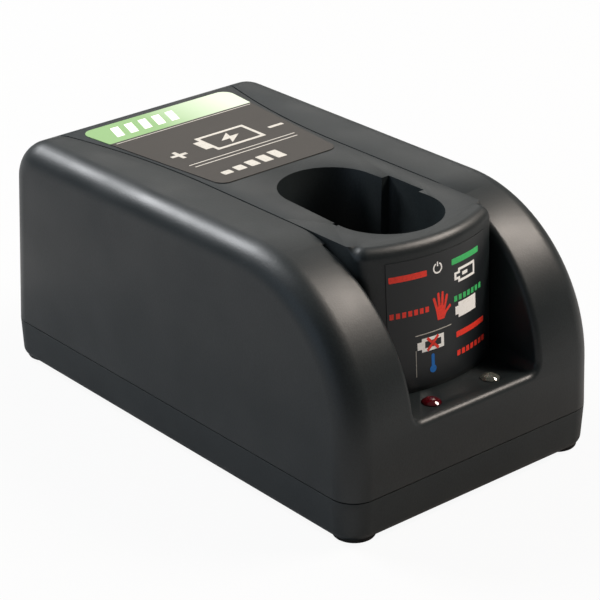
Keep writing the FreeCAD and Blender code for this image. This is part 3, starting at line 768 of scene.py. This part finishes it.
@dataclass
class Feet:
    """Four pressed-in rubber feet, each with a rounded rim and two shallow rings under it."""

    radius: float = 7.3
    rim: float = 0.8
    groove_depth: float = 0.35
    grooves: tuple[float, ...] = (2.4, 4.6)
    groove_width: float = 0.7
    groove_slope: float = 0.15
    sides: int = 40
    rim_steps: int = 4
    smooth_degrees: float = 35.0
    colour: str = "#161616"
    bloom: str = "#232221"

    def profile(self, height: float) -> Loop:
        """Half section of one foot from the axis under it to the axis over it.

        Args:
            height: Its height in millimetres.

        Returns:
            Radius and height pairs.
        """
        points: Loop = [(0.0, 0.0)]
        for middle in self.grooves:
            low, high = middle - self.groove_width / 2, middle + self.groove_width / 2
            points += [(low, 0.0), (low + self.groove_slope, self.groove_depth),
                       (high - self.groove_slope, self.groove_depth), (high, 0.0)]
        points += arc(self.radius - self.rim, self.rim, self.rim, -90, 0, self.rim_steps)
        return points + [(self.radius, height), (0.0, height)]

    def tree(self) -> bpy.types.NodeTree:
        """Geometry Nodes tree that sets one foot at the corners of a rectangle."""
        tree, given = named_tree("feet_at_corners", {"Foot": "Object", "Size X": "Float", "Size Y": "Float"})
        corners = add_node(tree, "GeometryNodeMeshGrid", {"Vertices X": 2, "Vertices Y": 2},
                           {"Size X": given.outputs["Size X"], "Size Y": given.outputs["Size Y"]})
        foot = add_node(tree, "GeometryNodeObjectInfo", links={"Object": given.outputs["Foot"]})
        placed = add_node(tree, "GeometryNodeInstanceOnPoints",
                          links={"Points": corners.outputs["Mesh"], "Instance": foot.outputs["Geometry"]})
        finish_tree(tree, given, placed.outputs[0])
        return tree

    def build(self) -> list[bpy.types.Object]:
        """Builds the feet where the CAD has them."""
        low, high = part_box("rubber_feet")
        finish = MouldedRubber("foot_rubber_moulded", self.colour, self.bloom).make()
        foot = new_piece("foot_form", turned(self.profile((high[2] - low[2]) / MM), self.sides), finish)
        sizes = {"Foot": foot, "Size X": high[0] - low[0] - 2 * self.radius * MM,
                 "Size Y": high[1] - low[1] - 2 * self.radius * MM}
        feet = grown_by_nodes("rubber_feet_ringed", self.tree(), sizes, finish)
        bpy.data.objects.remove(foot)
        feet.data.shade_smooth()
        feet.data.set_sharp_from_angle(angle=math.radians(self.smooth_degrees))
        return [settle(feet, "foot_rubber", nodes=["rubber_feet"])]


def rounded_bar(x0: float, x1: float, y0: float, y1: float, radius: float) -> Loop:
    """A rectangle with round corners.

    Args:
        x0: Left edge.
        x1: Right edge.
        y0: Lower edge.
        y1: Upper edge.
        radius: Corner radius.

    Returns:
        The outline, anticlockwise.
    """
    points: Loop = []
    for cx, cy, start in ((x1 - radius, y1 - radius, 0), (x0 + radius, y1 - radius, 90),
                          (x0 + radius, y0 + radius, 180), (x1 - radius, y0 + radius, 270)):
        points += arc(cx, cy, radius, start, start + 90, CORNER_STEPS)
    return points


def stroke(a: Point, b: Point, width: float) -> Loop:
    """A straight line with square ends.

    Args:
        a: Start.
        b: End.
        width: Thickness.

    Returns:
        Its four corners.
    """
    along = (Vector(b) - Vector(a)).normalized() * width / 2
    side = Vector((-along.y, along.x))
    corners = (Vector(a) + side, Vector(a) - side, Vector(b) - side, Vector(b) + side)
    return [(corner.x, corner.y) for corner in corners]


def printed_mesh(shapes: Sequence[Sequence[Loop]], wrap: Wrap, top: float, step: float) -> bpy.types.Mesh:
    """Flat shapes laid on a surface as a thin closed layer of ink.

    Args:
        shapes: Each an outline followed by its holes, in millimetres.
        wrap: Takes across, up and height over the film, and gives the place.
        top: Height of the layer's face over the film.
        step: Largest run across before a shape is cut to follow the surface.

    Returns:
        The mesh.
    """
    form = bmesh.new()
    for loops in shapes:
        flat = [point for loop in loops for point in loop]
        verts = [form.verts.new((x, 0.0, y)) for x, y in flat]
        for triangle in tessellate_polygon([[Vector((x, y, 0)) for x, y in loop] for loop in loops]):
            form.faces.new([verts[i] for i in triangle])
    left = min(v.co.x for v in form.verts)
    right = max(v.co.x for v in form.verts)
    for i in range(1, math.ceil((right - left) / step)):
        geom = list(form.verts) + list(form.edges) + list(form.faces)
        bmesh.ops.bisect_plane(form, geom=geom, plane_co=(left + i * step, 0, 0), plane_no=(1, 0, 0))
    for face in form.faces:
        face.normal_update()
        if face.normal.y > 0:
            face.normal_flip()
    under = list(form.faces)
    raised = bmesh.ops.extrude_face_region(form, geom=under, use_keep_orig=True)["geom"]
    for item in raised:
        if isinstance(item, bmesh.types.BMVert):
            item.co.y = -top
    for face in under:
        face.normal_flip()
    for vert in form.verts:
        vert.co = wrap(vert.co.x, vert.co.z, -vert.co.y)
    bmesh.ops.recalc_face_normals(form, faces=form.faces)
    mesh = bpy.data.meshes.new("print")
    form.to_mesh(mesh)
    form.free()
    return mesh


def battery(x0: float, x1: float, y0: float, y1: float, nub: float, nub_share: float = 0.55) -> Loop:
    """Outline of a battery lying on its side, its pole to the left.

    Args:
        x0: Left end of the body.
        x1: Right end.
        y0: Lower edge.
        y1: Upper edge.
        nub: Length of the pole.
        nub_share: Height of the pole over that of the body.

    Returns:
        The outline.
    """
    middle = (y0 + y1) / 2
    half = (y1 - y0) * nub_share / 2
    return [(x0, y0), (x1, y0), (x1, y1), (x0, y1), (x0, middle + half), (x0 - nub, middle + half),
            (x0 - nub, middle - half), (x0, middle - half)]


def plus_sign(cx: float, cy: float, arm: float, half: float) -> Loop:
    """Outline of a plus sign.

    Args:
        cx: Centre across.
        cy: Centre up.
        arm: Length of each arm from the centre.
        half: Half the width of an arm.

    Returns:
        The outline, anticlockwise.
    """
    corner: Loop = [(-half, arm), (-half, half), (-arm, half)]
    points: Loop = []
    for _ in range(4):
        points += [(cx + x, cy + y) for x, y in corner]
        corner = [(-y, x) for x, y in corner]
    return points


@dataclass
class RaisedHand:
    """A plain stop hand, drawn as one outline: thumb and fingers round a palm, and a short wrist.

    Each finger is its root from the middle of the palm, its direction in degrees and its length.
    """

    palm_x: float
    palm_y: float
    wrist_half: float = 1.4
    wrist_drop: float = 3.1
    finger_half: float = 0.5
    fingers: tuple[tuple[float, float, float, float], ...] = (
        (2.1, -0.9, 38.0, 2.5), (1.75, 1.2, 74.0, 3.6), (0.6, 1.8, 86.0, 4.3), (-0.6, 1.8, 95.0, 4.3),
        (-1.75, 1.2, 107.0, 3.7))

    def outline(self) -> Loop:
        """The hand, from one side of the wrist round the fingers to the other."""
        palm = Vector((self.palm_x, self.palm_y))
        points: Loop = [(palm.x + self.wrist_half, palm.y - self.wrist_drop)]
        for across, up, degrees, length in self.fingers:
            turn = math.radians(degrees)
            along = Vector((math.cos(turn), math.sin(turn)))
            side = Vector((along.y, -along.x)) * self.finger_half
            root = palm + Vector((across, up))
            tip = root + along * length
            points.append(tuple(root + side))
            points += arc(tip.x, tip.y, self.finger_half, degrees - 90, degrees + 90, 6)
            points.append(tuple(root - side))
        return points + [(palm.x - self.wrist_half, palm.y - self.wrist_drop)]


@dataclass
class DashRow:
    """A bar of short dashes in a row."""

    name: str
    ink: Ink
    x0: float
    x1: float
    middle: float
    height: float = 1.9
    count: int = 7
    gap: float = 0.75

    @staticmethod
    def tree() -> bpy.types.NodeTree:
        """Geometry Nodes tree for one row: a block repeated at a steady pitch."""
        found = bpy.data.node_groups.get("dash_row")
        if found:
            return found
        tree, given = named_tree("dash_row", {**ROW_INPUTS, "Dash Size": "Vector"})
        dash = add_node(tree, "GeometryNodeMeshCube", {"Vertices X": 3},
                        {"Size": given.outputs["Dash Size"]})
        finish_row(tree, given, dash.outputs[0])
        return tree

    def build(self, wrap: Wrap, top: float) -> bpy.types.Object:
        """Builds the row and lays it on the film.

        Args:
            wrap: Takes across, up and height over the film, and gives the place.
            top: Height of the ink's face over the film.

        Returns:
            The piece.
        """
        pitch = (self.x1 - self.x0 + self.gap) / self.count
        width = pitch - self.gap
        inputs = {"Count": self.count, "Start": (self.x0 + width / 2, -top / 2, self.middle),
                  "Pitch": (pitch, 0.0, 0.0), "Dash Size": (width, top, self.height)}
        piece = grown_by_nodes(self.name, self.tree(), inputs, self.ink.material())
        for vert in piece.data.vertices:
            vert.co = wrap(vert.co.x, vert.co.z, -vert.co.y)
        return piece


@dataclass
class Label(abc.ABC):
    """A printed film that lies on the case, and the signs on it.

    The step is the largest run across before a sign is cut to follow the film.
    """

    node: str
    slot: str
    film: PrintedFilm
    step: float
    ink_height: float = 0.05
    pieces: list[bpy.types.Object] = field(default_factory=list)

    @abc.abstractmethod
    def wrap(self, across: float, along: float, height: float) -> Vector:
        """Place on the film, in metres, for a place on its drawing and a height over it."""

    @abc.abstractmethod
    def draw(self) -> None:
        """Prints every sign."""

    def print_shapes(self, name: str, ink: Ink, shapes: Sequence[Sequence[Loop]], layers: int = 1) -> None:
        """Prints one sign.

        Args:
            name: The piece's name.
            ink: Its ink.
            shapes: Outlines with their holes.
            layers: Coats of ink, more than one where it crosses another print.
        """
        mesh = printed_mesh(shapes, self.wrap, layers * self.ink_height, self.step)
        self.pieces.append(settle(new_piece(name, mesh, ink.material()), self.slot))

    def build(self) -> list[bpy.types.Object]:
        """Dresses the film and prints its signs."""
        dress(self.node, self.film.make())
        self.draw()
        return self.pieces


@dataclass
class FrontLabel(Label):
    """The dark film on the bowed tower front, with the charge states drawn as plain pictograms.

    Places are millimetres across from the middle and up from the film's lower edge. The film follows the
    tower's bow, and leans back 3.4 mm in the 51.3 mm that the tower's face rises.
    """

    node: str = "front_label"
    slot: str = "label_front"
    film: PrintedFilm = PrintedFilm("front_film_charcoal", "#15191c", "#1b2023", roughness=0.4)
    step: float = 1.2
    bow_radius: float = 60.0
    lean: float = 3.4 / 51.3

    def wrap(self, across: float, up: float, height: float) -> Vector:
        """Place on the bowed and leaning film.

        Args:
            across: Millimetres from the middle.
            up: Millimetres from the lower edge.
            height: Millimetres over the film.

        Returns:
            The place in metres.
        """
        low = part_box("front_label")[0]
        face_y = low[1] / MM + self.lean * up
        radius = self.bow_radius + height
        y = face_y + self.bow_radius - math.sqrt(radius ** 2 - across ** 2)
        return Vector((across * MM, y * MM, low[2] + up * MM))

    def bars(self) -> None:
        """Solid and dashed bars that stand for a steady and a flashing lamp."""
        self.print_shapes("sign_bar_power", Ink.RED, [[rounded_bar(-21.2, -7.4, 38.7, 40.8, 0.3)]])
        self.print_shapes("sign_bar_full", Ink.GREEN, [[rounded_bar(3.4, 17.8, 39.4, 41.5, 0.3)]])
        self.print_shapes("sign_bar_fault", Ink.RED, [[rounded_bar(5.0, 20.7, 13.2, 15.2, 0.3)]])
        rows = [DashRow("sign_dashes_charge", Ink.GREEN, 4.3, 19.2, 27.1),
                DashRow("sign_dashes_wait", Ink.RED, -21.2, -6.9, 27.0),
                DashRow("sign_dashes_temperature", Ink.RED, 5.3, 20.9, 7.4)]
        for row in rows:
            self.pieces.append(settle(row.build(self.wrap, self.ink_height), self.slot))

    def power_ring(self) -> None:
        """The usual broken ring with a tick at its top."""
        across, up = -2.9, 40.4
        ring = arc(across, up, 1.95, 116, 424, 28) + arc(across, up, 1.4, 424, 116, 28)
        tick = stroke((across, 41.0), (across, 42.6), 0.5)
        self.print_shapes("sign_power_ring", Ink.WHITE, [[ring], [tick]])

    def batteries(self) -> None:
        """Three batteries: being filled, full, and crossed out."""
        self.print_shapes("sign_battery_filling", Ink.WHITE, [
            [battery(6.5, 15.4, 32.5, 37.5, 1.9), battery(7.4, 14.5, 33.4, 36.6, 1.8, 0.35)[::-1]],
            [rounded_bar(8.6, 11.4, 34.4, 35.6, 0.2)]])
        self.print_shapes("sign_battery_full", Ink.WHITE, [[battery(6.3, 15.7, 20.1, 25.4, 1.5)]])
        self.print_shapes("sign_battery_crossed", Ink.WHITE, [
            [battery(-10.0, -0.9, 12.2, 17.0, 1.7), rounded_bar(-8.8, -2.1, 13.4, 15.8, 0.2)[::-1]]])
        cross = [[stroke((-7.9, 12.4), (-3.3, 16.9), 1.0)], [stroke((-7.9, 16.9), (-6.1, 15.1), 1.0)],
                 [stroke((-5.1, 14.2), (-3.3, 12.4), 1.0)]]
        self.print_shapes("sign_battery_cross", Ink.RED, cross, layers=2)

    def other_signs(self) -> None:
        """Stop hand, thermometer and the thin rules between fields."""
        self.print_shapes("sign_stop_hand", Ink.RED, [[RaisedHand(-1.9, 25.1).outline()]])
        stem = arc(-5.7, 5.4, 1.35, 118, 422, 18) + arc(-5.7, 10.2, 0.63, 0, 180, 8)
        self.print_shapes("sign_thermometer", Ink.BLUE, [[stem]])
        self.print_shapes("sign_rule_across", Ink.GREY, [[stroke((-12.4, 18.5), (2.6, 18.8), 0.28)]])
        self.print_shapes("sign_rule_upright", Ink.GREY, [[stroke((-12.3, 3.9), (-12.3, 13.3), 0.22)]])

    def draw(self) -> None:
        """Prints every sign."""
        self.bars()
        self.power_ring()
        self.batteries()
        self.other_signs()


@dataclass
class TopLabel(Label):
    """The film on top: a warm grey ground, a pale band across its back end and plain drawn motifs.

    It is flat across, so its signs are never cut.
    """

    node: str = "top_label"
    slot: str = "label_top"
    film: PrintedFilm = BandedFilm("top_film_warm_grey", "#26231f", "#2f2b27", roughness=0.46)
    step: float = math.inf
    slope: float = 0.015

    def wrap(self, across: float, along: float, height: float) -> Vector:
        """Place on the sloped film.

        Args:
            across: Millimetres from the middle.
            along: Millimetres along the case.
            height: Millimetres over the film.

        Returns:
            The place in metres.
        """
        low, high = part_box("top_label")
        z = high[2] - self.slope * (along * MM - low[1]) + height * MM
        return Vector((across * MM, along * MM, z))

    def draw(self) -> None:
        """Prints every motif, from the middle of the film to its band."""
        cell = battery(-7.0, 15.0, 32.0, 46.0, 3.0)
        hole = rounded_bar(-5.6, 13.6, 33.4, 44.6, 0.8)[::-1]
        bolt = [(5.6, 43.4), (-0.6, 38.2), (3.2, 38.2), (1.6, 34.6), (8.6, 39.9), (4.6, 39.9)]
        self.print_shapes("motif_battery_bolt", Ink.GREY, [[cell, hole], [bolt]])
        self.print_shapes("motif_plus", Ink.GREY, [[plus_sign(-20.6, 37.2, 3.4, 0.8)]])
        self.print_shapes("motif_minus", Ink.GREY, [[rounded_bar(20.4, 27.0, 36.4, 38.0, 0.2)]])
        self.print_shapes("motif_rules", Ink.GREY, [[stroke((-24.0, 27.0), (24.0, 27.0), 0.5)],
                                                    [stroke((-23.2, 24.6), (23.2, 24.6), 0.5)]])
        steps = [[rounded_bar(-20.0 + 6.0 * i, -16.0 + 6.0 * i, 12.0, 15.0 + 1.0 * i, 0.4)]
                 for i in range(5)]
        self.print_shapes("motif_level_steps", Ink.GREY, steps)
        self.print_shapes("motif_frame", Ink.GREY, [[stroke((-30.5, 60.6), (31.0, 60.6), 0.4)]])
        slants = [[[(x, 66.0), (x + 3.4, 66.0), (x + 6.4, 74.6), (x + 3.0, 74.6)]]
                  for x in (-26.0 + 6.2 * i for i in range(5))]
        self.print_shapes("motif_band_slants", Ink.WHITE, slants)


@dataclass
class Lamps:
    """Two domed lamps on the ledge, each with a small metal cup inside that has a well for its chip."""

    cup_radius: float = 1.5
    cup_depth: float = 0.8
    cup_drop: float = 2.4
    cup_lip: float = 0.25
    well_share: float = 0.45
    well_depth: float = 0.15
    base_share: float = 0.6
    base_drop: float = 0.45
    sides: int = 24
    smooth_degrees: float = 40.0

    def cup(self, name: str, lens: str, finish: bpy.types.Material) -> bpy.types.Object:
        """The cup under one lens.

        Args:
            name: The piece's name.
            lens: The lens's CAD node.
            finish: The cup's material.

        Returns:
            The piece.
        """
        low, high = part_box(lens)
        well = self.cup_radius * self.well_share
        section = [(0.0, -self.well_depth), (well, -self.well_depth), (well, 0.0),
                   (self.cup_radius, self.cup_depth), (self.cup_radius + self.cup_lip, self.cup_depth),
                   (self.cup_radius * self.base_share, -self.base_drop), (0.0, -self.base_drop)]
        mesh = turned(section, self.sides, middle_at(low, high, high[2] - self.cup_drop * MM))
        mesh.shade_smooth()
        mesh.set_sharp_from_angle(angle=math.radians(self.smooth_degrees))
        return settle(new_piece(name, mesh, finish), slot="cap_nickel")

    def build(self) -> list[bpy.types.Object]:
        """Dresses the lenses and builds the cups."""
        dress("lamp_red", LampLens("lamp_epoxy_red", "#8c0d22", "#5e0715", transmission=0.7).make())
        dress("lamp_clear", LampLens("lamp_epoxy_clear", "#b9beb4", "#9aa096", transmission=0.85).make())
        silvered = PlatedMetal("lamp_cup_silvered", "#d8d6d0", "#b3b0a8", roughness=0.2).make()
        return [self.cup("lamp_cup_red", "lamp_red", silvered),
                self.cup("lamp_cup_clear", "lamp_clear", silvered)]


@dataclass
class Transformer:
    """Laminated core, moulded bobbin and a winding of round wire."""

    wire: float = 0.8
    corner: float = 2.5
    wire_sides: int = 6
    radius_share: float = 0.48

    def tree(self) -> bpy.types.NodeTree:
        """Geometry Nodes tree for one layer of turns: a rounded rectangle of wire repeated upwards."""
        tree, given = named_tree("wire_turns", {**ROW_INPUTS, "Width": "Float", "Depth": "Float",
                                                "Corner": "Float", "Wire Radius": "Float"})
        frame_curve = add_node(tree, "GeometryNodeCurvePrimitiveQuadrilateral", {"mode": "RECTANGLE"},
                               {"Width": given.outputs["Width"], "Height": given.outputs["Depth"]})
        rounded = add_node(tree, "GeometryNodeFilletCurve",
                           {"mode": "POLY", "Count": CORNER_STEPS, "Limit Radius": True},
                           {"Curve": frame_curve.outputs[0], "Radius": given.outputs["Corner"]})
        section = add_node(tree, "GeometryNodeCurvePrimitiveCircle",
                           {"mode": "RADIUS", "Resolution": self.wire_sides},
                           {"Radius": given.outputs["Wire Radius"]})
        turn = add_node(tree, "GeometryNodeCurveToMesh",
                        links={"Curve": rounded.outputs[0], "Profile Curve": section.outputs[0]})
        finish_row(tree, given, turn.outputs[0])
        return tree

    def build(self) -> list[bpy.types.Object]:
        """Builds the visible layer of turns and dresses the core, the bobbin and the coil under it."""
        low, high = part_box("transformer_winding")
        turns = int((high[2] - low[2]) / MM / self.wire)
        pitch = (high[2] - low[2]) / turns
        inputs = {"Count": turns, "Start": middle_at(low, high, low[2] + pitch / 2),
                  "Pitch": (0.0, 0.0, pitch), "Width": high[0] - low[0], "Depth": high[1] - low[1],
                  "Corner": self.corner * MM, "Wire Radius": pitch * self.radius_share}
        enamel = StripedSurface("winding_enamelled_copper", "#b5622d", "#8a4420", layer_mm=self.wire,
                                roughness=0.3, metallic=0.85, direction="Z", depth_mm=0.01).make()
        varnish = StripedSurface("core_varnished_laminations", "#4b4a4c", "#28282a", layer_mm=0.5,
                                 roughness=0.45, metallic=0.6).make()
        nylon = MouldedPlastic("bobbin_nylon_moulded", "#cfc8b0", "#d8d2bd", roughness=0.45).make()
        wires = grown_by_nodes("winding_turns", self.tree(), inputs, enamel)
        wires.data.shade_smooth()
        dress("transformer_winding", enamel)
        dress("transformer_core", varnish)
        dress("transformer_bobbin", nylon)
        return [settle(wires, "winding_copper")]


@dataclass
class Board:
    """Main board with rows of small parts and their solder joints underneath."""

    joint_radius: float = 0.9
    joint_rows: int = 4
    joint_columns: int = 9
    joint_spread: tuple[float, float] = (0.7, 0.82)
    joint_flatness: float = 0.7
    resistor_length: float = 6.0
    resistor_radius: float = 1.1
    resistor_sides: int = 20
    resistor_count: int = 6
    resistor_pitch: float = 4.5
    resistor_x: float = 24.0
    resistor_y: float = 64.0

    def joints_tree(self) -> bpy.types.NodeTree:
        """Geometry Nodes tree for the joints: a grid of small domes."""
        tree, given = named_tree("solder_joints", {"Size X": "Float", "Size Y": "Float", "Columns": "Int",
                                                   "Rows": "Int", "Radius": "Float", "Place": "Vector"})
        grid = add_node(tree, "GeometryNodeMeshGrid",
                        links={"Size X": given.outputs["Size X"], "Size Y": given.outputs["Size Y"],
                               "Vertices X": given.outputs["Rows"], "Vertices Y": given.outputs["Columns"]})
        moved = add_node(tree, "GeometryNodeSetPosition",
                         links={"Geometry": grid.outputs["Mesh"], "Offset": given.outputs["Place"]})
        dome = add_node(tree, "GeometryNodeMeshIcoSphere", {"Subdivisions": 2},
                        {"Radius": given.outputs["Radius"]})
        placed = add_node(tree, "GeometryNodeInstanceOnPoints", {"Scale": (1.0, 1.0, self.joint_flatness)},
                          {"Points": moved.outputs[0], "Instance": dome.outputs[0]})
        finish_tree(tree, given, placed.outputs[0])
        return tree

    def resistors_tree(self) -> bpy.types.NodeTree:
        """Geometry Nodes tree for a row of resistors: a lying cylinder repeated at a steady pitch."""
        tree, given = named_tree("resistor_row", {**ROW_INPUTS, "Length": "Float", "Radius": "Float"})
        body = add_node(tree, "GeometryNodeMeshCylinder", {"Vertices": self.resistor_sides},
                        {"Radius": given.outputs["Radius"], "Depth": given.outputs["Length"]})
        finish_row(tree, given, body.outputs["Mesh"], turn=(0.0, math.pi / 2, 0.0))
        return tree

    def build(self) -> list[bpy.types.Object]:
        """Builds the small parts and dresses both boards."""
        low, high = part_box("main_board")
        laminate = CircuitLaminate("board_glass_epoxy", "#14502c", "#2d7a46").make()
        dress("main_board", laminate)
        dress("lamp_board", laminate)
        solder = PlatedMetal("solder_tin", "#c9c8c4", "#a3a19c", roughness=0.3).make()
        across, along = self.joint_spread
        joints = grown_by_nodes("solder_joints", self.joints_tree(), {
            "Size X": (high[0] - low[0]) * across, "Size Y": (high[1] - low[1]) * along,
            "Rows": self.joint_rows, "Columns": self.joint_columns, "Radius": self.joint_radius * MM,
            "Place": middle_at(low, high, low[2])}, solder)
        ceramic = MouldedPlastic("resistor_lacquered_ceramic", "#c9b48a", "#b59d70", roughness=0.35,
                                 grain_mm=0.8).make()
        first_y = self.resistor_y - (self.resistor_count - 1) * self.resistor_pitch
        start = (self.resistor_x * MM, first_y * MM, high[2] + self.resistor_radius * MM)
        resistors = grown_by_nodes("resistor_row", self.resistors_tree(), {
            "Count": self.resistor_count, "Start": start, "Pitch": (0.0, self.resistor_pitch * MM, 0.0),
            "Length": self.resistor_length * MM, "Radius": self.resistor_radius * MM}, ceramic)
        return [settle(joints, "pin_brass"), settle(resistors, "carrier_plastic")]


class Innards:
    """Finishes of the bought-in parts inside, which keep their CAD shape."""

    def build(self) -> list[bpy.types.Object]:
        """Dresses each node; no piece is added."""
        zinc = PlatedMetal("screw_zinc_plated_steel", "#b6b8ba", "#8d9093", roughness=0.32).make()
        nickel = PlatedMetal("cap_nickel_plated", "#c8c4ba", "#a39e92", roughness=0.22).make()
        brass = PlatedMetal("pin_brass_stamped", "#c6a256", "#a07f3c", roughness=0.28).make()
        spring = PlatedMetal("contact_spring_bronze", "#c2925a", "#9a6f3e", roughness=0.25).make()
        sleeve = ShrinkSleeve("capacitor_shrunk_sleeve", "#1c2b52", "#9aa3b5").make()
        black = MouldedPlastic("inlet_nylon_moulded", "#1a1a1a", "#242322", roughness=0.42).make()
        carrier = MouldedPlastic("carrier_pbt_moulded", "#242322", "#2c2b2a", roughness=0.48).make()
        epoxy = MouldedPlastic("transistor_epoxy_package", "#18181a", "#242426", roughness=0.55,
                               grain_mm=0.4).make()
        sink = StripedSurface("sink_extruded_aluminium", "#b9bbbd", "#96989b", layer_mm=0.6, roughness=0.36,
                              metallic=1.0, direction="Z", depth_mm=0.01).make()
        glass = LampLens("fuse_drawn_glass", "#f2f6f5", "#e6eceb", transmission=0.97).make()
        finishes = {
            "case_screws": zinc, "board_screws": zinc,
            "fuse_caps": nickel, "fuse_clips": nickel, "lamp_legs": nickel, "inlet_pins": nickel,
            "contact_terminals": brass,
            "contact_negative": spring, "contact_sensor": spring, "contact_positive": spring,
            "input_capacitor": sleeve, "output_capacitor": sleeve,
            "mains_inlet": black, "contact_carrier": carrier, "power_transistor": epoxy,
            "heat_sink": sink, "fuse_glass": glass,
        }
        for node, material in finishes.items():
            dress(node, material)
        return []


@dataclass(frozen=True)
class SoftLamp:
    """One square soft lamp aimed at the middle of the object."""

    name: str
    place_m: tuple[float, float, float]
    side_m: float
    watts: float
    colour: str
    aim_m: tuple[float, float, float] = (0.0, 0.0, 0.05)

    def hang(self) -> None:
        """Puts the lamp in the scene."""
        data = bpy.data.lights.new(self.name, "AREA")
        data.size = self.side_m
        data.energy = self.watts
        data.color = linear(self.colour)[:3]
        lamp = bpy.data.objects.new(self.name, data)
        lamp.location = self.place_m
        aim = Vector(self.aim_m) - Vector(self.place_m)
        lamp.rotation_euler = aim.to_track_quat("-Z", "Y").to_euler()
        bpy.context.scene.collection.objects.link(lamp)


@dataclass
class Studio:
    """White floor, plain soft light and the camera of the photograph."""

    camera_mm: tuple[float, float, float] = (-514.4, -605.2, 416.3)
    yaw_degrees: float = 40.555
    pitch_degrees: float = 25.4385
    lens_mm: float = 148.875
    sensor_mm: float = 36.0
    near_m: float = 0.01
    far_m: float = 50.0
    floor_m: float = 6.0
    paper: str = "#b0b0b0"
    shadow_share: float = 0.07
    ambient: float = 0.1
    lamps: tuple[SoftLamp, ...] = (
        SoftLamp("soft_lamp_behind", (-0.32, 1.0, 1.05), side_m=0.5, watts=28.0, colour="#fafcff"),
        SoftLamp("soft_lamp_above", (0.8, -0.4, 1.1), side_m=0.5, watts=23.0, colour="#fff3e8"),
        SoftLamp("soft_lamp_left", (-1.6, 0.2, 0.5), side_m=1.2, watts=4.5, colour="#cfe6ff"),
        SoftLamp("soft_lamp_rim", (1.0, 1.1, 0.85), side_m=0.8, watts=2.8, colour="#fffaf4"),
    )

    def camera(self) -> None:
        """Sets the camera at the photograph's place and angle."""
        data = bpy.data.cameras.new("photo_camera")
        data.lens = self.lens_mm
        data.sensor_width = self.sensor_mm
        data.clip_start = self.near_m
        data.clip_end = self.far_m
        camera = bpy.data.objects.new("photo_camera", data)
        camera.location = Vector(self.camera_mm) * MM
        camera.rotation_euler = (math.radians(90 - self.pitch_degrees), 0, -math.radians(self.yaw_degrees))
        bpy.context.scene.collection.objects.link(camera)
        bpy.context.scene.camera = camera

    def backdrop_ray(self, tree: bpy.types.NodeTree) -> bpy.types.NodeSocket:
        """One where a ray comes from the camera or through glass, else nought.

        Args:
            tree: A material's or the world's tree.

        Returns:
            The factor socket.
        """
        path = add_node(tree, "ShaderNodeLightPath")
        seen = add_node(tree, "ShaderNodeMath", {"operation": "MAXIMUM"},
                        {0: path.outputs["Is Camera Ray"], 1: path.outputs["Is Transmission Ray"]})
        return seen.outputs[0]

    def floor(self) -> None:
        """A wide white floor that keeps a soft shadow."""
        mesh = bpy.data.meshes.new("studio_floor")
        half = self.floor_m / 2
        mesh.from_pydata([(-half, -half, 0), (half, -half, 0), (half, half, 0), (-half, half, 0)], [],
                         [(0, 1, 2, 3)])
        material = bpy.data.materials.new("studio_floor_white")
        material.use_nodes = True
        tree = material.node_tree
        tree.nodes.clear()
        paper = add_node(tree, "ShaderNodeBsdfDiffuse", {"Color": linear(self.paper)})
        white = add_node(tree, "ShaderNodeEmission", {"Strength": 1.0})
        share = add_node(tree, "ShaderNodeMath", {"operation": "MULTIPLY", 1: 1 - self.shadow_share},
                         {0: self.backdrop_ray(tree)})
        mixed = add_node(tree, "ShaderNodeMixShader",
                         links={0: share.outputs[0], 1: paper.outputs[0], 2: white.outputs[0]})
        add_node(tree, "ShaderNodeOutputMaterial", links={"Surface": mixed.outputs[0]})
        new_piece("studio_floor", mesh, material)

    def world(self) -> None:
        """Even white surroundings: full white to the camera, softer as light."""
        world = bpy.data.worlds.new("studio_world")
        world.use_nodes = True
        tree = world.node_tree
        tree.nodes.clear()
        soft = add_node(tree, "ShaderNodeBackground", {"Color": linear("#ffffff"), "Strength": self.ambient})
        white = add_node(tree, "ShaderNodeBackground", {"Color": linear("#ffffff"), "Strength": 1.0})
        path = add_node(tree, "ShaderNodeLightPath")
        mixed = add_node(tree, "ShaderNodeMixShader",
                         links={0: path.outputs["Is Camera Ray"], 1: soft.outputs[0], 2: white.outputs[0]})
        add_node(tree, "ShaderNodeOutputWorld", links={"Surface": mixed.outputs[0]})
        bpy.context.scene.world = world

    def build(self) -> list[bpy.types.Object]:
        """Sets up the whole studio; none of it is part of the object."""
        self.camera()
        self.floor()
        self.world()
        for lamp in self.lamps:
            lamp.hang()
        bpy.context.scene.view_settings.view_transform = "Standard"
        return []


def main() -> None:
    """Builds every sub-assembly in order and reports each piece."""
    logging.basicConfig(level=logging.INFO, format="%(name)s: %(message)s")
    parts = (Studio(), Case(), Feet(), FrontLabel(), TopLabel(), Lamps(), Transformer(), Board(), Innards())
    for part in parts:
        for piece in part.build():
            log.info("%s: %s, %d faces", type(part).__name__, piece.name, len(piece.data.polygons))


if __name__ == "__main__":
    main()
